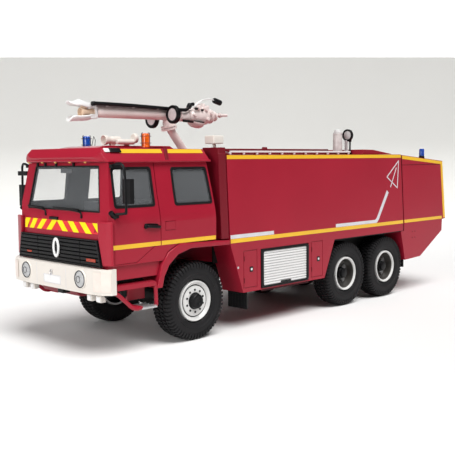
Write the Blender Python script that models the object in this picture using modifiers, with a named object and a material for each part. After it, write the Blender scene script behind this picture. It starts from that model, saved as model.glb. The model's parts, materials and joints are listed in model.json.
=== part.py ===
"""A six-wheel airport fire truck as a 1:43 scale model.

Lengths in this file are millimetres, multiplied by MM when an object is made.
X runs forward from the front axle, Y to the truck's left and Z up from the
ground. The empty "truck" carries everything and shifts it, so that the origin
of the scene is at the bottom centre of the whole model.
"""

import math

import bmesh
import bpy
from mathutils import Matrix, Vector

MM = 0.001

# Driving dimensions
FRONT_END = 43.3          # front face of the bumper
REAR_END = -180.1         # end of the rear tow bar
FRONT_AXLE_X = -(FRONT_END + REAR_END) / 2
AXLES = {"front": 0.0, "middle": -92.65, "rear": -124.3}
TYRE_R = 14.6
TYRE_INNER_Y, TYRE_OUTER_Y = 19.7, 28.3
RIM_R = 7.6
PIN_R = 1.1
HALF_W = 29.0             # at the waist stripe and below it
BODY_TOP_Y = 27.2         # half-width where the sides meet the roof
CAB_TOP_Y = 25.2          # the cab leans in further, up to its gutter
WAIST_Z = 36.0
BODY_FRONT, BODY_REAR = -17.3, -138.3
BODY_TOP_Z = 68.5
ARCH_Z = 31.0             # underside of the body above the bogie
SKIRT_Z = 14.6
MODULE_FRONT, MODULE_REAR = -139.2, -178.9
MODULE_TOP_FRONT, MODULE_TOP_REAR = 68.2, 65.0
CAB_REAR = -9.8
CAB_WALL = 1.3
GUTTER_Z = 66.1
ROOF_Z = 70.7
RAIL_Y, RAIL_W, RAIL_Z0, RAIL_Z1 = 9.2, 1.6, 18.2, 23.2
GAP = 0.12                # between pieces that are glued together

for obj in list(bpy.data.objects):
    bpy.data.objects.remove(obj, do_unlink=True)

PARTS = bpy.data.collections.new("airport_fire_truck_model")
TOOLS = bpy.data.collections.new("cutters")
for group in (PARTS, TOOLS):
    bpy.context.scene.collection.children.link(group)
TOOLS.hide_render = True

TRUCK = bpy.data.objects.new("truck", None)
TRUCK.location = (FRONT_AXLE_X * MM, 0, 0)
PARTS.objects.link(TRUCK)


def paint(name, colour, roughness, metallic=0.0, alpha=1.0):
    material = bpy.data.materials.new(name)
    material.use_nodes = True
    shader = material.node_tree.nodes["Principled BSDF"]
    shader.inputs["Base Color"].default_value = (*colour, 1.0)
    shader.inputs["Roughness"].default_value = roughness
    shader.inputs["Metallic"].default_value = metallic
    shader.inputs["Alpha"].default_value = alpha
    material.diffuse_color = (*colour, alpha)
    return material


RED = paint("red_paint", (0.42, 0.02, 0.04), 0.3)
DARK_RED = paint("dark_red_paint", (0.2, 0.01, 0.02), 0.4)
CREAM = paint("cream_paint", (0.85, 0.8, 0.74), 0.35)
WHITE = paint("white_paint", (0.85, 0.85, 0.85), 0.35)
SILVER = paint("silver_paint", (0.6, 0.6, 0.6), 0.35, 0.7)
BLACK = paint("black_plastic", (0.02, 0.02, 0.02), 0.5)
RUBBER = paint("tyre_rubber", (0.02, 0.02, 0.022), 0.8)
DARK = paint("dark_grey_plastic", (0.05, 0.05, 0.055), 0.6)
CLEAR = paint("clear_plastic", (0.8, 0.85, 0.85), 0.05, 0.0, 0.3)
LENS = paint("lamp_lens", (0.85, 0.85, 0.85), 0.1, 0.0, 0.6)
BLUE = paint("blue_lens", (0.02, 0.1, 0.5), 0.1, 0.0, 0.8)
AMBER = paint("amber_lens", (0.9, 0.25, 0.02), 0.1, 0.0, 0.8)


def place(name, mesh, material, at=(0, 0, 0), turn=(0, 0, 0), parent=None):
    """An object of this mesh. With no material it is a cutter."""
    obj = bpy.data.objects.new(name, mesh)
    obj.location = Vector(at) * MM
    obj.rotation_euler = turn
    obj.parent = parent or TRUCK
    if material is None:
        obj.hide_render = True
        obj.display_type = "WIRE"
        TOOLS.objects.link(obj)
    else:
        if not mesh.materials:
            mesh.materials.append(material)
        PARTS.objects.link(obj)
    return obj


def finish(bm, name):
    bmesh.ops.recalc_face_normals(bm, faces=bm.faces[:])
    mesh = bpy.data.meshes.new(name)
    bm.to_mesh(mesh)
    bm.free()
    return mesh


def box(name, low, high, material, bevel=0.0, parent=None):
    """A box between two corners, its origin at its middle."""
    low, high = Vector(low), Vector(high)
    size = (high - low) * MM
    bm = bmesh.new()
    bmesh.ops.create_cube(bm, size=1.0)
    bmesh.ops.scale(bm, vec=size, verts=bm.verts[:])
    obj = place(name, finish(bm, name), material, (low + high) / 2, parent=parent)
    if bevel:
        rounded(obj, bevel)
    return obj


def rounded(obj, width, segments=2, angle=30):
    bevel = obj.modifiers.new("rounded", "BEVEL")
    bevel.width = width * MM
    bevel.segments = segments
    bevel.limit_method = "ANGLE"
    bevel.angle_limit = math.radians(angle)
    bevel.use_clamp_overlap = True
    return bevel


AXIS_TURN = {"X": (0, math.pi / 2, 0), "Y": (-math.pi / 2, 0, 0), "Z": (0, 0, 0)}


def rod(name, middle, length, radius, axis, material, sides=20, end_radius=None,
        parent=None, tilt=None):
    """A cylinder or cone about its middle, along X, Y or Z."""
    bm = bmesh.new()
    bmesh.ops.create_cone(
        bm, cap_ends=True, cap_tris=False, segments=sides, radius1=radius * MM,
        radius2=(radius if end_radius is None else end_radius) * MM,
        depth=length * MM)
    mesh = finish(bm, name)
    mesh.shade_smooth()
    mesh.set_sharp_from_angle(angle=math.radians(40))
    return place(name, mesh, material, middle, tilt or AXIS_TURN[axis], parent)


def flat(name, outline, low, high, plane, material, parent=None):
    """A flat outline in XZ, YZ or XY, made solid from low to high on the third
    axis. The outline is a filled 2D curve turned into a mesh."""
    curve = bpy.data.curves.new(name, "CURVE")
    curve.dimensions = "2D"
    curve.fill_mode = "BOTH"
    curve.extrude = (high - low) / 2 * MM
    spline = curve.splines.new("POLY")
    spline.points.add(len(outline) - 1)
    for point, (u, v) in zip(spline.points, outline):
        point.co = (u * MM, v * MM, 0, 1)
    spline.use_cyclic_u = True
    holder = bpy.data.objects.new(name + "_outline", curve)
    PARTS.objects.link(holder)
    bpy.context.view_layer.update()
    graph = bpy.context.evaluated_depsgraph_get()
    mesh = bpy.data.meshes.new_from_object(holder.evaluated_get(graph))
    bpy.data.objects.remove(holder, do_unlink=True)
    bpy.data.curves.remove(curve)
    bm = bmesh.new()
    bm.from_mesh(mesh)
    bpy.data.meshes.remove(mesh)
    bmesh.ops.remove_doubles(bm, verts=bm.verts[:], dist=1e-7)
    mesh = finish(bm, name)
    middle = (low + high) / 2
    at, turn = {
        "XZ": ((0, middle, 0), (math.pi / 2, 0, 0)),
        "YZ": ((middle, 0, 0), (math.pi / 2, 0, math.pi / 2)),
        "XY": ((0, 0, middle), (0, 0, 0)),
    }[plane]
    return place(name, mesh, material, at, turn, parent)


def turned(name, profile, material, at, axis="Y", steps=24, parent=None):
    """A profile of (radius, height) points, closed on itself, turned about an
    axis with a Screw modifier. It runs down its outer side."""
    bm = bmesh.new()
    ring = [bm.verts.new((r * MM, 0, h * MM)) for r, h in profile]
    closed = all(r > 1e-6 for r, h in profile)
    for a, b in zip(ring, ring[1:]):
        bm.edges.new((a, b))
    if closed:
        bm.edges.new((ring[-1], ring[0]))
    mesh = bpy.data.meshes.new(name)
    bm.to_mesh(mesh)
    bm.free()
    obj = place(name, mesh, material, at, AXIS_TURN[axis], parent)
    screw = obj.modifiers.new("turned", "SCREW")
    screw.axis = "Z"
    screw.angle = math.tau
    screw.steps = screw.render_steps = steps
    screw.use_merge_vertices = True
    screw.merge_threshold = 1e-6
    screw.use_smooth_shade = True
    return obj


def tube(name, points, radius, material, sides=2, parent=None):
    """A round wire or pipe along straight runs between points."""
    curve = bpy.data.curves.new(name, "CURVE")
    curve.dimensions = "3D"
    curve.bevel_depth = radius * MM
    curve.bevel_resolution = sides
    curve.use_fill_caps = True
    spline = curve.splines.new("POLY")
    spline.points.add(len(points) - 1)
    for point, co in zip(spline.points, points):
        point.co = (*(Vector(co) * MM), 1)
    holder = bpy.data.objects.new(name + "_path", curve)
    PARTS.objects.link(holder)
    bpy.context.view_layer.update()
    graph = bpy.context.evaluated_depsgraph_get()
    mesh = bpy.data.meshes.new_from_object(holder.evaluated_get(graph))
    bpy.data.objects.remove(holder, do_unlink=True)
    bpy.data.curves.remove(curve)
    bm = bmesh.new()
    bm.from_mesh(mesh)
    bpy.data.meshes.remove(mesh)
    bmesh.ops.remove_doubles(bm, verts=bm.verts[:], dist=1e-7)
    mesh = finish(bm, name)
    return place(name, mesh, material, parent=parent)


def boolean(obj, other, operation):
    modifier = obj.modifiers.new(operation.lower(), "BOOLEAN")
    modifier.operation = operation
    modifier.solver = "EXACT"
    modifier.object = other
    return obj


def cut(obj, *others):
    for other in others:
        boolean(obj, other, "DIFFERENCE")
    return obj


def join(obj, *others):
    for other in others:
        boolean(obj, other, "UNION")
    return obj


def trim(obj, *others):
    for other in others:
        boolean(obj, other, "INTERSECT")
    return obj


def arc(cx, cz, radius, start, stop, count):
    """Points on a circle from one angle to another, in degrees."""
    return [
        (cx + radius * math.cos(math.radians(start + (stop - start) * i / (count - 1))),
         cz + radius * math.sin(math.radians(start + (stop - start) * i / (count - 1))))
        for i in range(count)]


def both_sides(half):
    """A closed outline from a half outline on the +Y side, bottom to top."""
    return half + [(-u, v) for u, v in reversed(half)]


# Wheels: an axle pin with its two rims, and a tyre on each rim
TYRE_PROFILE = [
    (RIM_R + 0.15, 1.1), (8.6, 0.25), (10.4, -0.1), (12.4, 0.15), (13.7, 0.9),
    (14.35, 1.5), (TYRE_R, 2.3)]


def tyre(name, x, side):
    width = TYRE_OUTER_Y - TYRE_INNER_Y
    half = [(r, width / 2 - inset) for r, inset in TYRE_PROFILE]
    profile = half + [(r, -h) for r, h in reversed(half)]
    middle = side * (TYRE_OUTER_Y + TYRE_INNER_Y) / 2
    return turned(name, profile, RUBBER, (x, middle, TYRE_R), steps=36)


def axle_with_rims(name, x, deep):
    """The rim's disc is near its outer face in front and deep behind."""
    disc = 22.6 if deep else 26.7
    hub = 27.6 if deep else 28.5
    half = [
        (2.0, hub), (2.6, hub - 0.6), (2.6, disc), (6.5, disc),
        (6.9, TYRE_OUTER_Y - 0.6), (RIM_R, TYRE_OUTER_Y - 0.6),
        (RIM_R, TYRE_INNER_Y + 0.8), (6.9, TYRE_INNER_Y + 0.8), (6.5, disc - 1.2),
        (PIN_R, disc - 1.2)]
    profile = [(0, hub)] + half + [(r, -y) for r, y in reversed(half)] + [(0, -hub)]
    return turned(name, profile, WHITE, (x, 0, TYRE_R), steps=28)


for place_name, axle_x in AXLES.items():
    axle_with_rims(f"{place_name}_axle_and_rims", axle_x, place_name != "front")
    tyre(f"{place_name}_tyre_left", axle_x, 1)
    tyre(f"{place_name}_tyre_right", axle_x, -1)


# Axle housings: a tube round each pin, with the differential and brake drums
def housing(name, x):
    half = [
        (2.9, 18.6), (4.6, 18.4), (4.6, 15.6), (2.0, 15.0), (2.0, 6.2),
        (3.4, 4.8), (4.5, 2.4), (4.8, 0.0)]
    bore = PIN_R + 0.08
    profile = [(bore, 18.6)] + half + [(r, -h) for r, h in reversed(half[:-1])]
    profile += [(bore, -18.6)]
    obj = turned(name, profile, DARK, (x, 0, TYRE_R), steps=20)
    return obj


for place_name, axle_x in AXLES.items():
    housing(f"{place_name}_axle_housing", axle_x)

# Chassis frame: two rails, cross members and the leaf springs on their brackets
frame = box("chassis_frame", (-174.0, RAIL_Y - RAIL_W / 2, RAIL_Z0),
            (32.8, RAIL_Y + RAIL_W / 2, RAIL_Z1), BLACK)
join(frame, box("rail_right", (-174.0, -RAIL_Y - RAIL_W / 2, RAIL_Z0),
                (32.8, -RAIL_Y + RAIL_W / 2, RAIL_Z1), None))
for i, x in enumerate((31.4, -24.0, -58.0, -78.5, -108.5, -139.0, -171.0)):
    join(frame, box(f"cross_member_{i}", (x - 1.3, -RAIL_Y, RAIL_Z0 + 1.0),
                    (x + 1.3, RAIL_Y, RAIL_Z1 - 0.6), None))
for side, label in ((1, "left"), (-1, "right")):
    y0, y1 = sorted((side * (RAIL_Y - 1.1), side * (RAIL_Y + 1.1)))
    leaf = arc(0, 14.6 + 41.0, 38.4, -112.5, -67.5, 9)
    leaf += arc(0, 14.6 + 41.0, 37.0, -67.5, -112.5, 9)
    join(frame, flat(f"front_spring_{label}", leaf, y0, y1, "XZ", None))
    bogie_x = (AXLES["middle"] + AXLES["rear"]) / 2
    bogie = [(bogie_x + 15.6, 16.9), (bogie_x + 15.6, 18.0), (bogie_x + 3.2, 21.2),
             (bogie_x - 3.2, 21.2), (bogie_x - 15.6, 18.0), (bogie_x - 15.6, 16.9),
             (bogie_x - 3.2, 17.0), (bogie_x + 3.2, 17.0)]
    join(frame, flat(f"bogie_spring_{label}", bogie, y0, y1, "XZ", None))
# The housings' brackets stay clear of the housings themselves
for axle_x in AXLES.values():
    cut(frame, rod(f"axle_clearance_{-axle_x:.0f}", (axle_x, 0, TYRE_R), 30.0, 2.5,
                   "Y", None, 16))

engine = box("engine_and_gearbox", (-9.0, -7.0, 21.0), (27.0, 7.0, 34.6), DARK, 0.6)
join(engine, box("gearbox", (-21.0, -4.4, 16.4), (-8.0, 4.4, 25.6), None))
tube("prop_shaft", [(-21.4, 0, 17.7), (-87.3, 0, 15.2)], 1.1, DARK)

# Cab: one hollow shell with its windows cut, open underneath
CAB_SIDE = (
    [(CAB_REAR, 37.2), (CAB_REAR - 0.1, 48.0), (CAB_REAR + 0.1, 55.3),
     (-8.5, GUTTER_Z - GAP),
     (36.3, GUTTER_Z - GAP), (38.7, 48.4), (39.4, 45.8), (40.1, 40.4),
     (40.1, 30.9), (38.3, 26.4), (18.4, 26.4)]
    + [(17.0, 30.6), (14.2, 34.4), (8.6, 37.2)])
CAB_FRONT_HALF = [(28.0, 20.0), (28.0, 31.2), (HALF_W, 31.5), (HALF_W, 45.0),
                  (28.6, 48.0), (27.0, 55.4), (CAB_TOP_Y, 66.2)]
CAB_PLAN = [(-12.0, -32.0), (34.4, -32.0), (36.9, -29.0), (38.8, -27.4), (39.6, -24.0),
            (40.2, -16.0), (40.3, 0), (40.2, 16.0), (39.6, 24.0), (38.8, 27.4),
            (36.9, 29.0), (34.4, 32.0), (-12.0, 32.0)]


def inset(points, distance):
    """A convex-looking outline moved inwards, edge by edge."""
    area = sum(a[0] * b[1] - b[0] * a[1]
               for a, b in zip(points, points[1:] + points[:1]))
    turn = 1 if area > 0 else -1
    result = []
    for before, here, after in zip(points[-1:] + points[:-1], points,
                                   points[1:] + points[:1]):
        a, b, c = Vector(before), Vector(here), Vector(after)
        first, second = (b - a).normalized(), (c - b).normalized()
        n1 = Vector((-first.y, first.x)) * turn
        n2 = Vector((-second.y, second.x)) * turn
        bisector = (n1 + n2).normalized()
        result.append(tuple(b + bisector * distance / max(bisector.dot(n1), 0.3)))
    return result


cab = flat("cab_shell", CAB_SIDE, -32, 32, "XZ", RED)
trim(cab, flat("cab_front_outline", both_sides(CAB_FRONT_HALF), -20, 50, "YZ", None))
trim(cab, flat("cab_plan_outline", CAB_PLAN, 10, 80, "XY", None))
cavity_side = [(CAB_REAR + CAB_WALL, 10.0), (CAB_REAR + CAB_WALL, 55.0),
               (-8.5 + CAB_WALL, GUTTER_Z - 1.2), (35.0, GUTTER_Z - 1.2),
               (37.3, 48.4), (38.6, 40.4), (38.6, 10.0)]
cavity = flat("cab_cavity", cavity_side, -31, 31, "XZ", None)
CAVITY_HALF = [(26.7, 5.0), (26.7, 31.2), (HALF_W - CAB_WALL, 31.5),
               (HALF_W - CAB_WALL, 45.0), (28.6 - CAB_WALL, 48.0),
               (27.0 - CAB_WALL, 55.4), (CAB_TOP_Y - CAB_WALL, 66.2)]
trim(cavity, flat("cab_cavity_front", both_sides(CAVITY_HALF), -20, 50, "YZ", None))
CAVITY_PLAN = inset(CAB_PLAN, CAB_WALL)
trim(cavity, flat("cab_cavity_plan", CAVITY_PLAN, 5, 80, "XY", None))
cut(cab, cavity)
FRONT_WINDOW = [(35.6, 51.3), (19.3, 51.3), (19.3, 63.8), (35.3, 63.8)]
REAR_WINDOW = [(9.0, 51.1), (-8.3, 51.1), (-8.2, 55.0), (-7.3, 63.5), (9.0, 63.5)]
cut(cab, flat("front_window_cutter", FRONT_WINDOW, -34, 34, "XZ", None))
cut(cab, flat("rear_window_cutter", REAR_WINDOW, -34, 34, "XZ", None))
WINDSCREEN = both_sides([(22.7, 49.4), (19.9, 64.8)])
cut(cab, flat("windscreen_cutter", WINDSCREEN, 30, 46, "YZ", None))

# Glazing: one clear moulding pressed in behind the windscreen and side windows
glaze_side = [(-8.2, 49.4), (-6.9, 64.6), (34.7, 64.6), (36.9, 49.4)]
glazing = flat("cab_glazing", glaze_side, -30, 30, "XZ", CLEAR)
GLAZE_Y = CAB_WALL + GAP
GLAZE_HALF = [(28.6 - GLAZE_Y, 47.0), (28.6 - GLAZE_Y, 48.0), (27.0 - GLAZE_Y, 55.4),
              (CAB_TOP_Y - GLAZE_Y, 66.2)]
trim(glazing, flat("glaze_front", both_sides(GLAZE_HALF), -20, 50, "YZ", None))
trim(glazing, flat("glaze_plan", inset(CAB_PLAN, CAB_WALL + 0.12), 5, 80, "XY", None))
hollow = flat("glaze_hollow", [(-20, 40.0), (-20, 70.0), (33.3, 70.0), (36.1, 48.4),
                               (36.1, 40.0)], -29, 29, "XZ", None)
GLAZE_IN = GLAZE_Y + 0.7
trim(hollow, flat("glaze_hollow_front", both_sides(
    [(28.6 - GLAZE_IN, 40.0), (28.6 - GLAZE_IN, 48.0), (27.0 - GLAZE_IN, 55.4),
     (CAB_TOP_Y - GLAZE_IN, 66.2), (CAB_TOP_Y - GLAZE_IN, 72.0)]), -30, 50, "YZ", None))
trim(hollow, flat("glaze_hollow_plan", inset(CAB_PLAN, CAB_WALL + 0.85), 5, 80, "XY", None))
cut(glazing, hollow)
cut(glazing, box("glaze_open_back", (-12.0, -26.0, 45.0), (-5.0, 26.0, 68.0), None))

# Interior: floor tray, engine hump, dashboard and seats in one moulding
interior = box("cab_interior", (-8.2, -26.0, 37.4), (36.8, 26.0, 38.9), DARK)
for i, (low, high) in enumerate((
        ((30.6, -24.3, 38.5), (35.6, 24.3, 47.6)),      # dashboard
        ((12.0, 8.5, 38.5), (23.0, 21.5, 43.2)),        # driver's seat
        ((12.0, 8.5, 38.5), (14.6, 21.5, 50.8)),
        ((12.0, -21.5, 38.5), (23.0, -8.5, 43.2)),      # front passenger's seat
        ((12.0, -21.5, 38.5), (14.6, -8.5, 50.8)),
        ((-6.8, -23.0, 38.5), (3.0, 23.0, 43.0)),       # rear bench
        ((-6.8, -22.6, 38.5), (-4.4, 22.6, 50.8)),
        ((-6.0, -6.5, 38.5), (29.0, 6.5, 41.5)))):      # engine hump
    join(interior, box(f"interior_{i}", low, high, None))
wheel = turned("steering_wheel", [(4.7, 0.35), (5.0, 0.0), (4.7, -0.35), (4.3, -0.35),
                                  (4.3, 0.35)], BLACK, (27.6, 14.5, 49.3), "Z", 20)
wheel.rotation_euler = (0, math.radians(-35), 0)
for i in range(2):
    spoke = box(f"wheel_spoke_{i}", (-4.5, -0.5, -0.3), (4.5, 0.5, 0.3), None)
    spoke.parent = wheel
    spoke.rotation_euler = (0, 0, math.pi / 2 * i)
    join(wheel, spoke)

# Roof: a cap with a raised middle, and the sun visor over the windscreen
ROOF_SIDE = [(-10.0, GUTTER_Z), (-9.4, ROOF_Z), (36.9, ROOF_Z + 0.4), (38.9, 67.9),
             (38.6, 66.9), (36.6, GUTTER_Z)]
ROOF_FRONT_HALF = [(25.9, 60.0), (25.9, 66.6), (25.4, 67.0), (22.2, ROOF_Z + 0.4)]
ROOF_PLAN = [(-11.0, -30.0), (35.4, -30.0), (36.6, -26.0), (37.9, -24.6), (38.8, -20.4),
             (39.1, -12.0), (39.1, 12.0), (38.8, 20.4), (37.9, 24.6), (36.6, 26.0),
             (35.4, 30.0), (-11.0, 30.0)]
roof = flat("cab_roof", ROOF_SIDE, -30, 30, "XZ", RED)
trim(roof, flat("roof_front_outline", both_sides(ROOF_FRONT_HALF), -20, 50, "YZ", None))
trim(roof, flat("roof_plan_outline", ROOF_PLAN, 60, 80, "XY", None))
join(roof, flat("roof_plinth", [(33.0, 70.4), (31.0, 71.4), (27.0, 72.0), (-2.2, 72.0),
                                (-5.0, 70.4)], -12, 12, "XZ", None))

# Front of the cab
grille = flat("grille", both_sides([(26.2, 31.0), (24.3, 40.2)]), 40.1 + GAP, 41.3, "YZ",
              BLACK)
BUMPER_PLAN = [(37.2, -29.6), (37.7, -30.3), (39.6, -30.3), (42.0, -27.6),
               (FRONT_END - 0.2, -22.0), (FRONT_END, -12.0), (FRONT_END, 12.0),
               (FRONT_END - 0.2, 22.0), (42.0, 27.6), (39.6, 30.3), (37.7, 30.3),
               (37.2, 29.6)]
bumper = flat("front_bumper", BUMPER_PLAN, 22.0, 30.6, "XY", CREAM)
cut(bumper, box("bumper_back", (30.0, -28.6, 20.0), (40.2 + GAP, 28.6, 33.0), None))
for side, label in ((1, "left"), (-1, "right")):
    cut(bumper, rod(f"lamp_pocket_{label}", (43.0, side * 17.5, 26.8), 3.2, 2.15, "X",
                    None, 24))
    rod(f"headlamp_{label}", (42.45, side * 17.5, 26.8), 1.6, 2.0, "X", LENS, 24)
lower = flat("front_skid_plate", [(38.6, 21.7), (41.2, 21.7), (39.6, 19.6), (33.2, 19.0),
                                  (33.2, 21.0)], -11.5, 11.5, "XZ", DARK_RED)
lamp_bar = box("fog_lamp_bar", (38.0, -26.0, 20.7), (39.0, -12.0, 21.6), BLACK)
for i, y in enumerate((-23.75, -18.45)):
    join(lamp_bar, rod(f"fog_{i}", (39.4, y, 20.3), 2.2, 1.25, "X", None, 16))
lamp_bar.name = "fog_lamps_right"
lamp_bar = box("fog_lamps_left", (38.0, 12.0, 20.7), (39.0, 26.0, 21.6), BLACK)
for i, y in enumerate((23.75, 18.45)):
    join(lamp_bar, rod(f"fog_left_{i}", (39.4, y, 20.3), 2.2, 1.25, "X", None, 16))

for side, label in ((1, "left"), (-1, "right")):
    # Air deflector wrapped round the cab's front corner
    plan = [(41.0, 22.0), (40.8, 25.0), (40.2, 27.6), (39.4, 29.6), (38.5, 30.1),
            (38.1, 29.4), (38.6, 28.4), (38.95, 27.5), (39.75, 24.1), (39.93, 22.0)]
    plan = [(u, side * v) for u, v in plan]
    deflector = flat(f"corner_deflector_{label}", plan, 31.6, 46.4, "XY", RED)
    edge = [(20.0, 30.0), (26.6, 30.0), (24.6, 40.6), (24.2, 48.0), (20.0, 48.0)]
    cut(deflector, flat(f"deflector_edge_{label}", [(side * u, z) for u, z in edge],
                        30, 50, "YZ", None))

    # Fender over the front wheel
    outer = [(19.3, 21.8), (18.1, 26.2), (16.9, 30.4), (14.0, 34.1), (8.4, 36.9),
             (-16.9, 36.0)]
    inner = [(-16.9, 34.2), (3.1, 34.6), (9.4, 32.9), (13.6, 29.6), (16.0, 25.6),
             (16.9, 21.8)]
    y0, y1 = sorted((side * 20.0, side * 29.4))
    fender = flat(f"front_fender_{label}", outer + inner, y0, y1, "XZ", RED)

    # Cab steps on their brackets
    y0, y1 = sorted((side * 22.5, side * 29.2))
    step = flat(f"cab_step_{label}",
                [(36.9, 26.1), (35.6, 26.1), (35.6, 22.6), (30.2, 18.4), (28.6, 16.2),
                 (20.1, 16.2), (20.1, 21.2), (20.9, 22.0), (20.9, 26.1), (19.6, 26.1),
                 (19.6, 21.7), (18.8, 21.5), (18.8, 15.2), (27.6, 15.2), (29.9, 15.6),
                 (31.4, 17.4), (36.9, 21.6)], y0, y1, "XZ", RED)
    y2, y3 = sorted((side * 22.0, side * 29.0))
    join(step, box(f"upper_tread_{label}", (20.0, y2, 23.0), (36.4, y3, 24.2), None))

    # Mirror: head on a bent arm from the front pillar
    arm = tube(f"mirror_{label}",
               [(35.6, side * 26.3, 65.0), (35.6, side * 30.9, 65.6),
                (35.2, side * 32.4, 63.4), (35.1, side * 32.9, 49.9),
                (36.7, side * 29.5, 48.9)], 0.45, BLACK, 1)
    y0, y1 = sorted((side * 31.1, side * 35.3))
    head = 52.4 if side > 0 else 49.4
    join(arm, box(f"mirror_head_{label}", (33.3, y0, head), (35.2, y1, head + 8.2), None))

# Frame behind the cab with a column at each side
bulkhead = box("cab_rear_frame", (-16.6, -27.6, 37.0), (-12.9, 27.6, 69.0), DARK_RED)
for side, label in ((1, "left"), (-1, "right")):
    column = [(side * u, z) for u, z in ((18.0, 36.6), (28.8, 36.6), (27.2, 71.3), (18.6, 71.3))]
    join(bulkhead, flat(f"column_{label}", column, -16.8, -12.9, "YZ", None))
lamp = box("roof_work_lamp", (-18.4, 19.6, 72.6), (-13.0, 25.0, 76.0), CREAM, 0.5)
join(lamp, rod("work_lamp_stem", (-15.0, 22.3, 72.2), 1.6, 0.8, "Z", None, 12))

# Main body: tank and pump housing with skirts between the wheels
body_half = [(HALF_W, 10.0), (HALF_W, WAIST_Z), (BODY_TOP_Y, BODY_TOP_Z)]
body = flat("main_body", [
    (BODY_FRONT, BODY_TOP_Z), (BODY_FRONT, 34.3), (-24.3, SKIRT_Z), (-75.6, SKIRT_Z),
    (-82.8, ARCH_Z), (BODY_REAR, ARCH_Z), (BODY_REAR, BODY_TOP_Z)], -HALF_W, HALF_W,
    "XZ", RED)
trim(body, flat("body_section", both_sides(body_half), -150, 0, "YZ", None))
cut(body, box("body_tunnel", (-90.0, -17.5, 5.0), (-10.0, 17.5, ARCH_Z - 5.0), None))
for side, label in ((1, "left"), (-1, "right")):
    cut(body, box(f"shutter_recess_{label}", (-64.6, min(side * 28.0, side * 33), 15.0),
                  (-34.4, max(side * 28.0, side * 33), 31.0), None))
    shutter = box(f"roller_shutter_{label}", (-64.4, min(side * 28.12, side * 29.2), 15.2),
                  (-34.6, max(side * 28.12, side * 29.2), 30.8), WHITE)
    box(f"mud_flap_{label}", (-27.6, min(side * 17.6, side * 28.2), 7.4),
        (-26.9, max(side * 17.6, side * 28.2), SKIRT_Z - GAP), BLACK)

# Rear module with its sloping roof and cut-away tail
module = flat("rear_module", [
    (MODULE_FRONT, MODULE_TOP_FRONT), (MODULE_FRONT, ARCH_Z - 0.3),
    (-136.4, ARCH_Z - 0.3), (-140.35, 16.2), (-154.4, 16.8), (-175.5, 28.6),
    (-175.8, 34.4), (MODULE_REAR, 34.8), (-178.0, MODULE_TOP_REAR)],
    -HALF_W, HALF_W, "XZ", RED)
trim(module, flat("module_section", both_sides(body_half), -190, -130, "YZ", None))
cut(module, box("module_tunnel", (-176.0, -17.5, 5.0), (-130.0, 17.5, ARCH_Z - 5.0), None))
for side, label in ((1, "left"), (-1, "right")):
    join(module, box(f"rear_flap_{label}", (-141.9, min(side * 20.0, side * 27.2), 12.4),
                     (-141.2, max(side * 20.0, side * 27.2), 17.2), None))
tow = box("rear_tow_bar", (REAR_END, -12.0, 24.4), (-176.4, 12.0, 27.4), BLACK)
join(tow, box("tow_bar_arm", (-177.6, -4.0, 23.9), (-174.3, 4.0, 25.7), None))

# Roof equipment on the body
for side, label in ((1, "left"), (-1, "right")):
    rail = box(f"roof_ladder_{label}",
               (-99.5, min(side * 24.4, side * 25.4), 69.4),
               (-20.5, max(side * 24.4, side * 25.4), 70.2), WHITE)
    for i in range(11):
        x = -21.6 - i * 7.66
        join(rail, box(f"ladder_foot_{label}_{i}",
                       (x - 0.9, min(side * 24.5, side * 25.3), 68.75),
                       (x + 0.9, max(side * 24.5, side * 25.3), 69.6), None))
box("roof_hose_tray", (-103.0, 6.0, 68.62), (-32.0, 10.0, 71.2), DARK_RED)
hatch = flat("roof_hatch", [(-112.0, 68.62), (-112.6, 70.9), (-120.6, 70.8), (-136.6, 68.8),
                            (-136.6, 68.62)], -23, 23, "XZ", RED)
mast = rod("light_mast", (-103.3, 15.0, 74.55), 11.9, 2.2, "Z", WHITE, 24)
join(mast, rod("mast_lamp", (-110.6, 15.0, 77.6), 1.8, 2.5, "X", None, 20),
     box("mast_bracket", (-110.8, 14.5, 69.5), (-103.6, 15.5, 75.8), None),
     box("mast_base", (-111.6, 12.4, 68.62), (-100.4, 17.6, 69.7), None))
rod("rear_beacon", (-169.0, 20.5, 69.3), 3.6, 1.2, "Z", BLUE, 16)

# Roof equipment on the cab
rod("beacon_left", (14.4, 18.0, 74.1), 5.2, 1.9, "Z", AMBER, 20)
rod("beacon_right", (14.9, -18.0, 74.1), 5.2, 1.9, "Z", BLUE, 20)
horns = tube("roof_horns", [(17.4, 4.6, 73.5), (17.4, 12.0, 73.5)], 0.6, CREAM, 2)
join(horns, rod("horn_1", (19.8, 5.0, 74.1), 7.4, 1.35, "X", None, 16, 1.8),
     rod("horn_2", (18.9, 12.0, 73.35), 7.8, 0.95, "X", None, 16),
     rod("horn_2_disc", (14.7, 12.0, 74.7), 1.6, 1.75, "X", None, 20),
     box("horn_foot", (18.6, 4.2, 72.12), (20.8, 5.8, 73.4), None))

# Water monitor: riser, barrel, top pipe, jaws and lamps
riser = tube("monitor_riser", [(-19.6, 0, 68.7), (-19.6, 0, 70.6), (-16.4, 0, 74.6),
                               (-13.6, 0, 78.0), (-11.8, 0, 81.4)], 1.7, CREAM, 3)
join(riser, rod("riser_flange", (-12.4, 0, 80.3), 2.6, 2.9, "Z", None, 20))
barrel = rod("monitor_barrel", (4.15, 0, 84.6), 38.9, 2.05, "X", CREAM, 24)
BODY_TOP = [(-23.4, 87.0), (-24.7, 87.7), (-26.2, 89.4), (-29.2, 89.5), (-32.0, 89.0),
            (-35.5, 87.4), (-38.6, 86.2)]
BODY_UNDER = [(-38.6, 84.6), (-37.2, 83.4), (-33.7, 81.6), (-30.8, 80.1), (-27.9, 79.8),
              (-25.2, 80.6), (-23.4, 82.0)]
casting = flat("monitor_body", BODY_TOP + BODY_UNDER, -3.1, 3.1, "XZ", CREAM)
rounded(casting, 1.0, 2, 60)
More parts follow.
